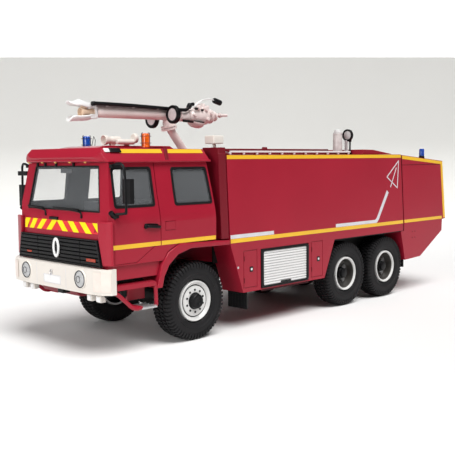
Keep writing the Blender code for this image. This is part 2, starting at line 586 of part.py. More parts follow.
join(casting, rod("monitor_neck", (-20.2, 0, 84.2), 8.0, 1.85, "X", None, 20),
     rod("monitor_stem", (-41.2, 0, 85.5), 7.2, 0.7, "X", None, 16))
pipe = tube("monitor_pipe", [(26.4, 2.75, 87.35), (8.7, 2.75, 87.2), (-8.6, 2.6, 86.8),
                             (-16.4, 2.5, 86.65), (-20.2, 2.4, 87.3), (-21.2, 2.4, 88.5),
                             (-22.9, 2.4, 89.2)], 0.7, BLACK, 2)
jaws = flat("monitor_deflector", [
    (23.7, 82.5), (23.7, 86.9), (26.35, 87.8), (28.9, 88.4), (30.6, 88.8), (31.9, 88.2),
    (33.6, 87.8), (35.1, 88.2), (34.9, 87.0), (32.8, 86.7), (30.7, 86.5), (29.0, 86.3),
    (27.3, 85.9), (25.6, 85.8), (25.6, 83.5), (27.4, 83.0), (30.0, 82.6), (32.5, 82.8),
    (33.8, 82.6), (34.85, 81.8), (34.7, 80.8), (33.0, 81.0), (30.85, 81.15),
    (27.4, 81.3), (25.6, 81.7)], -1.9, 1.9, "XZ", CREAM)
for side, label in ((1, "left"), (-1, "right")):
    z = 84.4 if side > 0 else 83.1
    lamp = rod(f"monitor_lamp_{label}", (-9.2, side * 6.5, z), 2.2, 3.6, "X", BLACK, 24)
    y0, y1 = sorted((side * 2.2, side * 3.6))
    join(lamp, box(f"lamp_arm_{label}", (-9.9, y0, 83.9), (-8.9, y1, 84.9), None))
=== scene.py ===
"""Looks of the airport fire truck model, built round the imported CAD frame.

Positions are in truck millimetres: x forward from the front axle, y to the
truck's left, z up from the surface it stands on. P() turns them into the row
frame's metres.
"""

import json
import math

import bmesh
import bpy
from mathutils import Matrix, Vector


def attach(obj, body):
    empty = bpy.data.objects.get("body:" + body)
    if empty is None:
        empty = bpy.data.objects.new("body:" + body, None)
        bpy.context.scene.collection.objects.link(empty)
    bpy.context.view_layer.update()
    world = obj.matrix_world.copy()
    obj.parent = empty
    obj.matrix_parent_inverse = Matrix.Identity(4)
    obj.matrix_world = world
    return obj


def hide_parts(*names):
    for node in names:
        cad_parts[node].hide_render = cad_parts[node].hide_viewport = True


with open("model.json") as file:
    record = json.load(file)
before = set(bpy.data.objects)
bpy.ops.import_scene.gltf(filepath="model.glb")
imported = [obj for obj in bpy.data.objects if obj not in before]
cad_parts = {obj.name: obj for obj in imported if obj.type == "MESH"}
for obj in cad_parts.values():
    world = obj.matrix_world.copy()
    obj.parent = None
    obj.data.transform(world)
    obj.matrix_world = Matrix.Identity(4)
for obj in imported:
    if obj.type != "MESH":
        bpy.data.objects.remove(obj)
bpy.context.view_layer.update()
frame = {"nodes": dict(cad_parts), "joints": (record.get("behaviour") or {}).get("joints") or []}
NODES = frame["nodes"]
MM = 0.001
ROLL = {j["name"]: j["pos_m"] for j in frame["joints"]}
FX = ROLL["front_wheels_roll"][0] / MM
AXLE = {k: ROLL[f"{k}_wheels_roll"][0] / MM - FX for k in ("front", "middle", "rear")}
HUB_Z = ROLL["front_wheels_roll"][2] / MM


def P(x, y, z):
    return Vector(((x + FX) * MM, y * MM, z * MM))


# ---------------------------------------------------------------- camera
scene = bpy.context.scene
YAW, PITCH, ROLL_ANGLE = map(math.radians, (225.126, -5.045, -0.508))
FOCAL_PX, FRAME_PX = 766.23, 455
forward = Vector((math.cos(YAW) * math.cos(PITCH), math.sin(YAW) * math.cos(PITCH),
                  math.sin(PITCH)))
right = Vector((math.sin(YAW), -math.cos(YAW), 0))
up = right.cross(forward)
cr, sr = math.cos(ROLL_ANGLE), math.sin(ROLL_ANGLE)
right, up = cr * right + sr * up, -sr * right + cr * up
camera_data = bpy.data.cameras.new("camera")
camera_data.sensor_width = 36.0
camera_data.lens = FOCAL_PX * 36.0 / FRAME_PX
camera_data.clip_start, camera_data.clip_end = 0.01, 20.0
camera = bpy.data.objects.new("camera", camera_data)
camera.matrix_world = Matrix((
    (right.x, up.x, -forward.x, (189.38 + FX) * MM),
    (right.y, up.y, -forward.y, 235.09 * MM),
    (right.z, up.z, -forward.z, 66.57 * MM),
    (0, 0, 0, 1)))
scene.collection.objects.link(camera)
scene.camera = camera
scene.view_settings.view_transform = "Standard"
scene.view_settings.look = "None"


# ---------------------------------------------------------------- materials
def link(tree, a, b):
    tree.links.new(a, b)


def surface(name, colour, rough=0.35, metal=0.0, vary=0.06, size=9.0, rough_vary=0.06,
            bump=0.0, bump_size=0.5, coat=0.0, alpha=1.0, transmission=0.0,
            dust=0.0, emission=0.0, specular=0.5):
    """A procedural finish: a slow change of colour and roughness over the piece,
    a fine surface grain, and where dust is set a paler film on upward faces.
    Sizes are in millimetres."""
    material = bpy.data.materials.new(name)
    material.use_nodes = True
    tree = material.node_tree
    shader = tree.nodes["Principled BSDF"]
    shader.inputs["Metallic"].default_value = metal
    shader.inputs["Coat Weight"].default_value = coat
    shader.inputs["Coat Roughness"].default_value = 0.12
    shader.inputs["Alpha"].default_value = alpha
    shader.inputs["Specular IOR Level"].default_value = specular
    shader.inputs["Transmission Weight"].default_value = transmission
    if emission:
        shader.inputs["Emission Color"].default_value = (*colour, 1)
        shader.inputs["Emission Strength"].default_value = emission
    where = tree.nodes.new("ShaderNodeTexCoord")
    slow = tree.nodes.new("ShaderNodeTexNoise")
    slow.inputs["Scale"].default_value = 1 / (size * MM)
    slow.inputs["Detail"].default_value = 4.0
    link(tree, where.outputs["Object"], slow.inputs["Vector"])
    ramp = tree.nodes.new("ShaderNodeValToRGB")
    ramp.color_ramp.elements[0].position = 0.3
    ramp.color_ramp.elements[1].position = 0.7
    ramp.color_ramp.elements[0].color = (*[c * (1 - vary) for c in colour], 1)
    ramp.color_ramp.elements[1].color = (*[min(1, c * (1 + vary)) for c in colour], 1)
    link(tree, slow.outputs["Fac"], ramp.inputs["Fac"])
    tone = ramp.outputs["Color"]
    if dust:
        normal = tree.nodes.new("ShaderNodeNewGeometry")
        split = tree.nodes.new("ShaderNodeSeparateXYZ")
        link(tree, normal.outputs["Normal"], split.inputs["Vector"])
        amount = tree.nodes.new("ShaderNodeMapRange")
        amount.inputs["From Min"].default_value = 0.3
        amount.inputs["To Max"].default_value = dust
        link(tree, split.outputs["Z"], amount.inputs["Value"])
        mix = tree.nodes.new("ShaderNodeMix")
        mix.data_type = "RGBA"
        mix.inputs["B"].default_value = (0.6, 0.57, 0.54, 1)
        link(tree, amount.outputs["Result"], mix.inputs["Factor"])
        link(tree, tone, mix.inputs["A"])
        tone = mix.outputs["Result"]
    link(tree, tone, shader.inputs["Base Color"])
    fine = tree.nodes.new("ShaderNodeTexNoise")
    fine.inputs["Scale"].default_value = 1 / (bump_size * MM)
    fine.inputs["Detail"].default_value = 3.0
    link(tree, where.outputs["Object"], fine.inputs["Vector"])
    spread = tree.nodes.new("ShaderNodeMapRange")
    spread.inputs["To Min"].default_value = max(0.02, rough - rough_vary)
    spread.inputs["To Max"].default_value = rough + rough_vary
    link(tree, slow.outputs["Fac"], spread.inputs["Value"])
    link(tree, spread.outputs["Result"], shader.inputs["Roughness"])
    if bump:
        relief = tree.nodes.new("ShaderNodeBump")
        relief.inputs["Strength"].default_value = bump
        relief.inputs["Distance"].default_value = 0.0001
        link(tree, fine.outputs["Fac"], relief.inputs["Height"])
        link(tree, relief.outputs["Normal"], shader.inputs["Normal"])
    return material


RED = surface("red_paint", (0.345, 0.0105, 0.029), 0.36, vary=0.05, size=30, bump=0.10,
              bump_size=0.45, coat=0.10, specular=0.28)
DARK_RED = surface("dark_red_paint", (0.17, 0.003, 0.012), 0.42, specular=0.35, vary=0.08, size=14,
                   bump=0.12, bump_size=0.4)
CREAM = surface("cream_paint", (0.76, 0.715, 0.66), 0.38, vary=0.03, size=12, bump=0.1,
                bump_size=0.5, coat=0.05, specular=0.25)
WHITE = surface("white_paint", (0.82, 0.82, 0.82), 0.36, vary=0.03, size=10, bump=0.08,
                bump_size=0.5)
RIM_WHITE = surface("rim_paint", (0.72, 0.72, 0.71), 0.34, vary=0.06, size=4, bump=0.1,
                    bump_size=0.4)
SILVER = surface("silver_metal", (0.62, 0.62, 0.63), 0.3, 0.85, vary=0.08, size=3,
                 bump=0.15, bump_size=0.25)
BLACK = surface("black_plastic", (0.0045, 0.0045, 0.0055), 0.40, specular=0.22, vary=0.25, size=6,
                bump=0.15, bump_size=0.35)
GASKET = surface("black_rubber_seal", (0.005, 0.005, 0.006), 0.5, specular=0.3, vary=0.3, size=4,
                 bump=0.2, bump_size=0.3)
RUBBER = surface("tyre_rubber", (0.0065, 0.006, 0.0072), 0.62, specular=0.32, vary=0.35, size=3,
                 bump=0.35, bump_size=0.3)
CHASSIS = surface("chassis_black", (0.006, 0.006, 0.006), 0.55, specular=0.25, vary=0.3, size=8,
                  bump=0.25, bump_size=0.5)
INSIDE = surface("dark_grey_trim", (0.055, 0.057, 0.063), 0.6, specular=0.3, vary=0.12, size=6,
                 bump=0.25, bump_size=0.35)
DARK = surface("dark_grey_plastic", (0.012, 0.011, 0.011), 0.5, specular=0.25, vary=0.25, size=6,
               bump=0.25, bump_size=0.4)
YELLOW = surface("yellow_stripe", (0.84, 0.50, 0.025), 0.34, vary=0.04, size=12,
                 bump=0.06, bump_size=0.4)
LEMON = surface("lemon_reflective", (0.95, 0.80, 0.01), 0.3, vary=0.05, size=4,
                bump=0.25, bump_size=0.2)
SCARLET = surface("scarlet_reflective", (0.74, 0.035, 0.045), 0.3, vary=0.06, size=4,
                  bump=0.25, bump_size=0.2)
ORANGE = surface("orange_tag", (0.36, 0.035, 0.012), 0.4, vary=0.2, size=2, bump=0.1)
PALE = surface("pale_grey_stripe", (0.66, 0.66, 0.70), 0.32, vary=0.06, size=6,
               bump=0.12, bump_size=0.25)
LENS = surface("lamp_lens", (0.86, 0.87, 0.88), 0.08, vary=0.02, size=2, coat=0.6,
               alpha=0.35, rough_vary=0.02)
GLASS = surface("clear_glazing", (0.52, 0.55, 0.58), 0.06, vary=0.03, size=20, coat=0.4,
                alpha=0.10, rough_vary=0.02)
BLUE = surface("blue_lens", (0.008, 0.075, 0.46), 0.12, vary=0.25, size=1.6, coat=0.6,
               rough_vary=0.04)
AMBER = surface("amber_lens", (0.90, 0.125, 0.004), 0.14, vary=0.35, size=1.6, coat=0.6,
                rough_vary=0.04, emission=0.05)
AMBER_CORE = surface("amber_core", (1.0, 0.42, 0.05), 0.3, vary=0.2, size=1.2,
                     emission=0.35)
MARKER = surface("marker_amber", (0.72, 0.40, 0.10), 0.2, vary=0.1, size=1, coat=0.4)
TAIL_RED = surface("tail_lamp_red", (0.55, 0.01, 0.01), 0.16, vary=0.1, size=1.2, coat=0.6)
STAGE = surface("pale_backdrop", (0.80, 0.80, 0.80), 0.8, vary=0.01, size=200, specular=0.1)
PAPER_WALL = surface("pale_wall", (0.745, 0.745, 0.725), 0.8, vary=0.01, size=200, specular=0.1)


# ---------------------------------------------------------------- mesh kit
class Kit:
    """Gathers shapes in truck millimetres, and makes one piece of them."""

    def __init__(self):
        self.bm = bmesh.new()

    def vert(self, p):
        return self.bm.verts.new(P(*p))

    def loft(self, rings, closed=True, caps=True):
        """Quads between rings of points, each a list of the same length."""
        made = [[self.vert(p) for p in ring] for ring in rings]
        n = len(made[0])
        for a, b in zip(made, made[1:]):
            for i in range(n if closed else n - 1):
                j = (i + 1) % n
                self.bm.faces.new((a[i], a[j], b[j], b[i]))
        if caps:
            self.bm.faces.new(list(reversed(made[0])))
            self.bm.faces.new(made[-1])
        return made

    def box(self, low, high):
        x0, y0, z0 = low
        x1, y1, z1 = high
        self.loft([[(x0, y0, z0), (x1, y0, z0), (x1, y1, z0), (x0, y1, z0)],
                   [(x0, y0, z1), (x1, y0, z1), (x1, y1, z1), (x0, y1, z1)]])

    def prism(self, outline, plane, low, high):
        def at(u, v, w):
            return {"XZ": (u, w, v), "YZ": (w, u, v), "XY": (u, v, w)}[plane]
        self.loft([[at(u, v, low) for u, v in outline], [at(u, v, high) for u, v in outline]])

    def rod(self, a, b, ra, rb=None, sides=24, rounded=0.0):
        """A round bar or cone from a to b, its ends eased by rounded."""
        rb = ra if rb is None else rb
        a, b = Vector(a), Vector(b)
        axis = (b - a).normalized()
        u = axis.orthogonal().normalized()
        v = axis.cross(u)
        stations = [(0, ra), (1, rb)]
        length = (b - a).length
        if rounded:
            e = rounded / length
            stations = [(0, ra - rounded), (e * 0.3, ra - rounded * 0.3), (e, ra),
                        (1 - e, rb), (1 - e * 0.3, rb - rounded * 0.3), (1, rb - rounded)]
        rings = []
        for t, r in stations:
            centre = a + (b - a) * t
            rings.append([tuple(centre + (u * math.cos(k) + v * math.sin(k)) * r)
                          for k in [math.tau * i / sides for i in range(sides)]])
        self.loft(rings)

    def lathe(self, profile, centre, axis, sides=48):
        """A profile of (radius, height) points turned about an axis."""
        axis = Vector(axis).normalized()
        u = axis.orthogonal().normalized()
        v = axis.cross(u)
        centre = Vector(centre)
        rings = []
        for r, h in profile:
            middle = centre + axis * h
            if r < 1e-6:
                rings.append([self.vert(tuple(middle))])
            else:
                rings.append([self.vert(tuple(middle + (u * math.cos(k) + v * math.sin(k)) * r))
                              for k in [math.tau * i / sides for i in range(sides)]])
        for a, b in zip(rings, rings[1:]):
            for i in range(sides):
                j = (i + 1) % sides
                if len(a) == 1 and len(b) == 1:
                    continue
                if len(a) == 1:
                    self.bm.faces.new((a[0], b[j], b[i]))
                elif len(b) == 1:
                    self.bm.faces.new((a[i], a[j], b[0]))
                else:
                    self.bm.faces.new((a[i], a[j], b[j], b[i]))
        if len(rings[0]) > 1:
            if len(rings[-1]) > 1 and profile[0] == profile[-1]:
                bmesh.ops.remove_doubles(self.bm, verts=rings[0] + rings[-1], dist=1e-9)
            else:
                self.bm.faces.new(list(reversed(rings[0])))
        if len(rings[-1]) > 1 and profile[0] != profile[-1]:
            self.bm.faces.new(rings[-1])

    def tube(self, points, radius, sides=10, closed=False, smooth=0):
        """A round wire through points, with smooth extra points on each run."""
        pts = [Vector(p) for p in points]
        if smooth:
            pts = spline(pts, smooth, closed)
        n = len(pts)
        rings, u = [], None
        for i, p in enumerate(pts):
            if closed:
                along = (pts[(i + 1) % n] - pts[i - 1]).normalized()
            else:
                along = (pts[min(i + 1, n - 1)] - pts[max(i - 1, 0)]).normalized()
            u = along.orthogonal().normalized() if u is None else (u - along * u.dot(along)).normalized()
            v = along.cross(u)
            rings.append([tuple(p + (u * math.cos(k) + v * math.sin(k)) * radius)
                          for k in [math.tau * j / sides for j in range(sides)]])
        if closed:
            made = self.loft(rings, caps=False)
            first, last = made[0], made[-1]
            # the last ring meets the first one turned by the twist that built up
            shift = min(range(sides), key=lambda s: (last[0].co - first[s].co).length)
            for i in range(sides):
                self.bm.faces.new((last[i], last[(i + 1) % sides],
                                   first[(i + 1 + shift) % sides], first[(i + shift) % sides]))
        else:
            self.loft(rings)

    def frame_ring(self, outer, inner, back):
        """A solid frame between two loops of 3D points, thickened by back."""
        back = Vector(back)
        loops = [outer, inner, [tuple(Vector(p) + back) for p in inner],
                 [tuple(Vector(p) + back) for p in outer]]
        made = [[self.vert(p) for p in loop] for loop in loops]
        n = len(outer)
        for a, b in zip(made, made[1:] + made[:1]):
            for i in range(n):
                j = (i + 1) % n
                self.bm.faces.new((a[i], a[j], b[j], b[i]))

    def dome(self, centre, radius, axis, height=None, sides=20, rings=5):
        height = radius if height is None else height
        profile = [(radius * math.cos(math.radians(90 * i / rings)),
                    height * math.sin(math.radians(90 * i / rings))) for i in range(rings)]
        self.lathe(profile + [(0, height)], centre, axis, sides)

    def make(self, name, material, bevel=0.0, segments=2, angle=32, body="vehicle",
             slot=None, replaces=(), smooth=True, soft_angle=38):
        bmesh.ops.remove_doubles(self.bm, verts=self.bm.verts[:], dist=1e-8)
        bmesh.ops.recalc_face_normals(self.bm, faces=self.bm.faces[:])
        mesh = bpy.data.meshes.new(name)
        self.bm.to_mesh(mesh)
        self.bm.free()
        return piece(name, mesh, material, bevel, segments, angle, body, replaces,
                     smooth, soft_angle)


def piece(name, mesh, material, bevel=0.0, segments=2, angle=32, body="vehicle",
          replaces=(), smooth=True, soft_angle=38):
    if material is not None:
        mesh.materials.clear()
        mesh.materials.append(material)
    obj = bpy.data.objects.new(name, mesh)
    scene.collection.objects.link(obj)
    if smooth:
        mesh.shade_smooth()
        mesh.set_sharp_from_angle(angle=math.radians(soft_angle))
    if bevel:
        ease = obj.modifiers.new("eased", "BEVEL")
        ease.width = bevel * MM
        ease.segments = segments
        ease.limit_method = "ANGLE"
        ease.angle_limit = math.radians(angle)
        ease.use_clamp_overlap = True
        bake(obj)
        obj.data.shade_smooth()
        obj.data.set_sharp_from_angle(angle=math.radians(soft_angle + 14))
        flatten(obj)
    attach(obj, body)
    if replaces:
        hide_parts(*([replaces] if isinstance(replaces, str) else replaces))
    return obj


def flatten(obj):
    """Shades broad faces flat, so that only the eased edges between them bend."""
    even = obj.modifiers.new("even", "WEIGHTED_NORMAL")
    even.mode = "FACE_AREA"
    even.weight = 50
    even.keep_sharp = True
    bake(obj)


def bake(obj):
    """The object's modifiers made its mesh."""
    bpy.context.view_layer.update()
    graph = bpy.context.evaluated_depsgraph_get()
    mesh = bpy.data.meshes.new_from_object(obj.evaluated_get(graph))
    obj.modifiers.clear()
    old = obj.data
    obj.data = mesh
    bpy.data.meshes.remove(old)


def spline(pts, steps, closed=False):
    """Catmull-Rom points between the given ones."""
    n = len(pts)
    result = []
    for i in range(n if closed else n - 1):
        p0 = pts[i - 1] if (closed or i) else pts[0] * 2 - pts[1]
        p1, p2 = pts[i], pts[(i + 1) % n]
        p3 = pts[(i + 2) % n] if (closed or i + 2 < n) else p2 * 2 - p1
        for k in range(steps):
            t = k / steps
            result.append(0.5 * ((2 * p1) + (p2 - p0) * t + (2 * p0 - 5 * p1 + 4 * p2 - p3) * t * t
                                 + (3 * p1 - p0 - 3 * p2 + p3) * t ** 3))
    if not closed:
        result.append(pts[-1])
    return result


def grooves(obj, strokes):
    """Cuts thin grooves: each stroke is a Kit holding one closed cutter."""
    for i, kit in enumerate(strokes):
        bmesh.ops.recalc_face_normals(kit.bm, faces=kit.bm.faces[:])
        mesh = bpy.data.meshes.new(f"groove_{i}")
        kit.bm.to_mesh(mesh)
        kit.bm.free()
        cutter = bpy.data.objects.new(f"groove_{i}", mesh)
        scene.collection.objects.link(cutter)
        modifier = obj.modifiers.new("groove", "BOOLEAN")
        modifier.operation, modifier.solver, modifier.object = "DIFFERENCE", "EXACT", cutter
        bake(obj)
        bpy.data.objects.remove(cutter, do_unlink=True)
        bpy.data.meshes.remove(mesh)


def refine(node, material, bevel, segments=2, angle=28, cuts=(), body="vehicle",
           sort=None, name=None):
    """A CAD node with its edges eased and its seams cut, standing for the node.
    sort(centre, normal) picks the material slot of each face."""
    bm = bmesh.new()
    bm.from_mesh(NODES[node].data)
    bmesh.ops.remove_doubles(bm, verts=bm.verts[:], dist=2e-7)
    bmesh.ops.dissolve_limit(bm, angle_limit=math.radians(1.0), verts=bm.verts[:],
                             edges=bm.edges[:])
    mesh = bpy.data.meshes.new(name or f"{node}_finish")
    bm.to_mesh(mesh)
    bm.free()
    materials = material if isinstance(material, (list, tuple)) else [material]
    mesh.materials.clear()
    for m in materials:
        mesh.materials.append(m)
    obj = bpy.data.objects.new(name or f"{node}_finish", mesh)
    scene.collection.objects.link(obj)
    grooves(obj, cuts)
    if sort:
        for polygon in obj.data.polygons:
            c = polygon.center
            polygon.material_index = sort((c.x / MM - FX, c.y / MM, c.z / MM), polygon.normal)
    if bevel:
        ease = obj.modifiers.new("eased", "BEVEL")
        ease.width = bevel * MM
        ease.segments = segments
        ease.limit_method = "ANGLE"
        ease.angle_limit = math.radians(angle)
        ease.use_clamp_overlap = True
        bake(obj)
    obj.data.shade_smooth()
    obj.data.set_sharp_from_angle(angle=math.radians(50))
    flatten(obj)
    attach(obj, body)
    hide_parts(node)
    return obj


def finish_node(node, material):
    NODES[node].data.materials.clear()
    NODES[node].data.materials.append(material)


# ---------------------------------------------------------------- the sides' shape
def between(x, table):
    """Straight-line reading of a table of (key, value) pairs in rising order."""
    if x <= table[0][0]:
        return table[0][1]
    for (a, va), (b, vb) in zip(table, table[1:]):
        if x <= b:
            return va + (vb - va) * (x - a) / (b - a)
    return table[-1][1]


def body_y(x, z):
    return between(z, [(36.0, 29.0), (68.5, 27.2)])


def cab_y(x, z):
    return between(z, [(31.2, 28.0), (31.5, 29.0), (45.0, 29.0), (48.0, 28.6), (55.4, 27.0),
                       (66.2, 25.2)])


def roof_y(x, z):
    return between(z, [(66.6, 25.9), (67.0, 25.4), (71.1, 22.2)])


def front_x(y, z):
    plan = between(abs(y), [(0, 40.3), (16, 40.2), (24, 39.6), (27.4, 38.8), (29, 36.9)])
    side = between(z, [(40.4, 40.1), (45.8, 39.4), (48.4, 38.7), (66.0, 36.3)])
    return min(plan, side)


def on_side(kit, outline, side, shape, lift=0.05, depth=0.15, swap=False):
    """A thin plate of XZ points laid on a side."""
    outer = [(x, side * (shape(x, z) + lift), z) for x, z in outline]
    inner = [(x, side * (shape(x, z) - depth), z) for x, z in outline]
    kit.loft([inner, outer])


def on_front(kit, outline, lift=0.05, depth=0.15):
    outer = [(front_x(y, z) + lift, y, z) for y, z in outline]
    inner = [(front_x(y, z) - depth, y, z) for y, z in outline]
    kit.loft([inner, outer])


def rect(x0, z0, x1, z1):
    return [(x0, z0), (x1, z0), (x1, z1), (x0, z1)]


def round_loop(points, radius, steps=4):
    """A closed outline with its corners rounded."""
    result = []
    n = len(points)
    for i in range(n):
        a, b, c = (Vector(points[i - 1]), Vector(points[i]), Vector(points[(i + 1) % n]))
        d1, d2 = (a - b).normalized(), (c - b).normalized()
        start, stop = b + d1 * radius, b + d2 * radius
        for k in range(steps + 1):
            t = k / steps
            result.append(tuple(start * (1 - t) ** 2 + b * 2 * t * (1 - t) + stop * t * t))
    return result


def grow(points, distance):
    """A convex outline moved outwards."""
    area = sum(a[0] * b[1] - b[0] * a[1] for a, b in zip(points, points[1:] + points[:1]))
    turn = -1 if area > 0 else 1
    result = []
    for before, here, after in zip(points[-1:] + points[:-1], points, points[1:] + points[:1]):
        a, b, c = Vector(before), Vector(here), Vector(after)
        first, second = (b - a).normalized(), (c - b).normalized()
        n1 = Vector((-first.y, first.x)) * turn
        n2 = Vector((-second.y, second.x)) * turn
        bisector = (n1 + n2).normalized()
        result.append(tuple(b + bisector * distance / max(bisector.dot(n1), 0.3)))
    return result


def side_cut(points, side, shape, width=0.28, depth=0.35):
    """A groove cutter along one run of XZ points on a side."""
    kit = Kit()
    pts = [Vector(p) for p in points]
    left, right_edge = [], []
    for i, p in enumerate(pts):
        along = (pts[min(i + 1, len(pts) - 1)] - pts[max(i - 1, 0)]).normalized()
        across = Vector((-along.y, along.x)) * width / 2
        left.append(tuple(p + across))
        right_edge.append(tuple(p - across))
    rings = []
    for (lx, lz), (rx, rz) in zip(left, right_edge):
        rings.append([(lx, side * (shape(lx, lz) + 0.5), lz),
                      (rx, side * (shape(rx, rz) + 0.5), rz),
                      (rx, side * (shape(rx, rz) - depth), rz),
                      (lx, side * (shape(lx, lz) - depth), lz)])
    kit.loft(rings)
    return kit


def box_cut(low, high):
    kit = Kit()
    kit.box(low, high)
    return kit


SIDES = ((1, "left"), (-1, "right"))

# ---------------------------------------------------------------- wheels
TYRE_R, TYRE_HALF, RIM_R = 14.6, 4.3, 7.6
SHOULDER = [(0.35, 14.6), (1.9, 14.6), (2.0, 14.6), (3.3, 14.5), (3.95, 14.2), (4.3, 13.55),
            (4.42, 12.7)]
FLOOR = [(0.0, 14.05), (3.2, 14.0), (3.8, 13.6), (4.1, 13.0), (4.2, 12.4)]
SIDEWALL = [(7.9, 3.15), (8.4, 3.85), (9.3, 4.22), (10.6, 4.3), (11.8, 4.26)]


def tyre_piece(node, x, side, body):
    kit = Kit()
    middle = (x, side * 24.0, HUB_Z)
    axis = (0, side, 0)
    # carcass: sidewalls with a raised ring, and the floor of the tread
    outer = SIDEWALL[:3] + [(9.9, 4.27), (10.0, 4.38), (10.2, 4.38), (10.3, 4.28)] + SIDEWALL[3:]
    outer += [(r, w) for w, r in reversed(FLOOR)]
    profile = [(RIM_R + 0.2, 2.4)] + outer
    profile += [(r, -h) for r, h in reversed(profile[:-1])]
    kit.lathe(profile + [profile[0]], middle, axis, 84)
    # tread blocks: two per row and side, leaning, the two sides half a pitch apart
    count = 58
    pitch = math.tau / count
    for row, sign in ((0, 1), (1, -1)):
        for i in range(count):
            centre = (i + row * 0.5) * pitch
            for part in ((0, 1), (3, 4, 5, 6)):
                rings = []
                for k in part:
                    w, r = SHOULDER[k]
                    if k == 3:
                        w = 2.35
                    shift = 0.0 if part[0] else 0.5 * pitch
                    lean = 0.55 * pitch * (1 - min(w, 3.4) / 3.4)
                    half = pitch * 0.31
                    base = between(w, FLOOR) - 0.15
                    ring = []
                    for a, rr in ((-half, base), (half, base), (half * 0.82, r),
                                  (-half * 0.82, r)):
                        t = centre + shift + lean * sign + a
                        ring.append((x + rr * math.cos(t), side * 24.0 + sign * w,
                                     HUB_Z + rr * math.sin(t)))
                    rings.append(ring)
                kit.loft(rings)
    kit.make(node + "_tread", RUBBER, body=body, slot="tyre_rubber", replaces=node,
             soft_angle=32)


def front_rims(body):
    x = AXLE["front"]
    rim, dark, hub, nuts = Kit(), Kit(), Kit(), Kit()
    for side in (1, -1):
        c, axis = (x, 0, HUB_Z), (0, side, 0)
        rim.lathe([(7.58, 20.6), (7.6, 27.5), (7.5, 27.95), (7.25, 28.05), (6.9, 27.8),
                   (6.3, 27.4), (6.1, 27.1), (6.05, 26.9), (5.7, 26.9), (5.65, 27.25),
                   (5.4, 27.4), (3.2, 27.4), (3.1, 26.2), (2.6, 26.0), (2.6, 25.4),
                   (6.9, 25.2), (6.9, 20.6), (7.58, 20.6)], c, axis, 56)
        dark.lathe([(5.68, 26.85), (5.68, 27.02), (6.1, 27.02), (6.1, 26.85), (5.68, 26.85)],
                   c, axis, 56)
        for i in range(10):
            a = math.tau * (i + 0.5) / 10
            px, pz = x + 4.15 * math.cos(a), HUB_Z + 4.15 * math.sin(a)
            nuts.rod((px, side * 27.2, pz), (px, side * 27.6, pz), 0.46, 0.42, 6)
        # a black liner over the rim's inner barrel and the back of its disc: painted shade inside the white rim
        dark.lathe([(1.2, 24.85), (6.6, 24.85), (6.65, 20.8), (6.85, 20.8), (6.85, 25.1), (1.2, 25.1),
                    (1.2, 24.85)], c, axis, 48)
        hub.lathe([(3.15, 26.4), (3.15, 27.55), (3.0, 27.75), (2.75, 27.8), (2.7, 28.9),
                   (2.45, 29.25), (2.3, 29.3), (1.3, 29.3), (1.2, 29.1), (0, 29.1)][::-1], c, axis,
                  32)
    hub.rod((x, -26.0, HUB_Z), (x, 26.0, HUB_Z), 1.08, sides=20)
    rim.make("front_rims", RIM_WHITE, body=body, slot="rim_paint",
             replaces="front_axle_and_rims")
    dark.make("front_rim_rings_and_shade_liners", BLACK, body=body)
    nuts.make("front_wheel_nuts", BLACK, body=body)
    hub.make("front_hubs_and_pin", BLACK, bevel=0.05, body=body)


def rear_rims(name, body):
    x = AXLE[name]
    rim, dish, hub, nuts = Kit(), Kit(), Kit(), Kit()
    for side in (1, -1):
        c, axis = (x, 0, HUB_Z), (0, side, 0)
        rim.lathe([(7.58, 20.6), (7.6, 27.5), (7.5, 28.0), (7.2, 28.1), (6.85, 27.95),
                   (6.62, 27.5), (6.6, 27.2), (6.9, 27.1), (6.9, 20.6), (7.58, 20.6)], c, axis, 56)
        # a liner over the rim's inner barrel and its centre disc, dark grey-brown as painted shade inside the
        # deep white rim
        dish.lathe([(6.62, 27.3), (6.5, 27.2), (6.45, 23.7), (6.0, 23.4), (3.4, 22.7), (2.2, 22.6),
                    (2.2, 22.0), (6.0, 22.4), (6.85, 23.0), (6.85, 27.2), (6.62, 27.3)], c, axis,
                   48)
        for i in range(5):
            a = math.tau * (i + 0.1) / 5
            pts = []
            for r, b in ((3.9, -0.22), (5.9, -0.2), (6.1, 0.0), (5.9, 0.2), (3.9, 0.22)):
                pts.append((x + r * math.cos(a + b), HUB_Z + r * math.sin(a + b)))
            y0, y1 = sorted((side * 22.9, side * 23.75))
            nuts.prism(pts, "XZ", y0, y1)
        hub.lathe([(0, 27.2), (1.7, 27.2), (2.05, 27.0), (2.1, 26.0), (2.5, 25.8),
                   (2.7, 22.4), (0, 22.3)], c, axis, 32)
    hub.rod((x, -24.0, HUB_Z), (x, 24.0, HUB_Z), 1.08, sides=20)
    rim.make(f"{name}_rims", RIM_WHITE, body=body, slot="rim_paint",
             replaces=f"{name}_axle_and_rims")
    dish.make(f"{name}_dishes_painted_shade", DISH_SHADE, body=body)
    nuts.make(f"{name}_wheel_spokes", SILVER, bevel=0.08, body=body)
    hub.make(f"{name}_hubs_and_pin", BLACK, bevel=0.05, body=body)


# DISH_SHADE: a dark grey-brown painted shade for the inside of the rear rims
DISH_SHADE = surface("dish_grey_painted_shade", (0.06, 0.055, 0.05), 0.45, vary=0.2, size=2, bump=0.2,
               bump_size=0.3)
for place in AXLE:
    for side, label in SIDES:
        tyre_piece(f"{place}_tyre_{label}", AXLE[place], side, f"{place}_wheels")
front_rims("front_wheels")
rear_rims("middle", "middle_wheels")
rear_rims("rear", "rear_wheels")

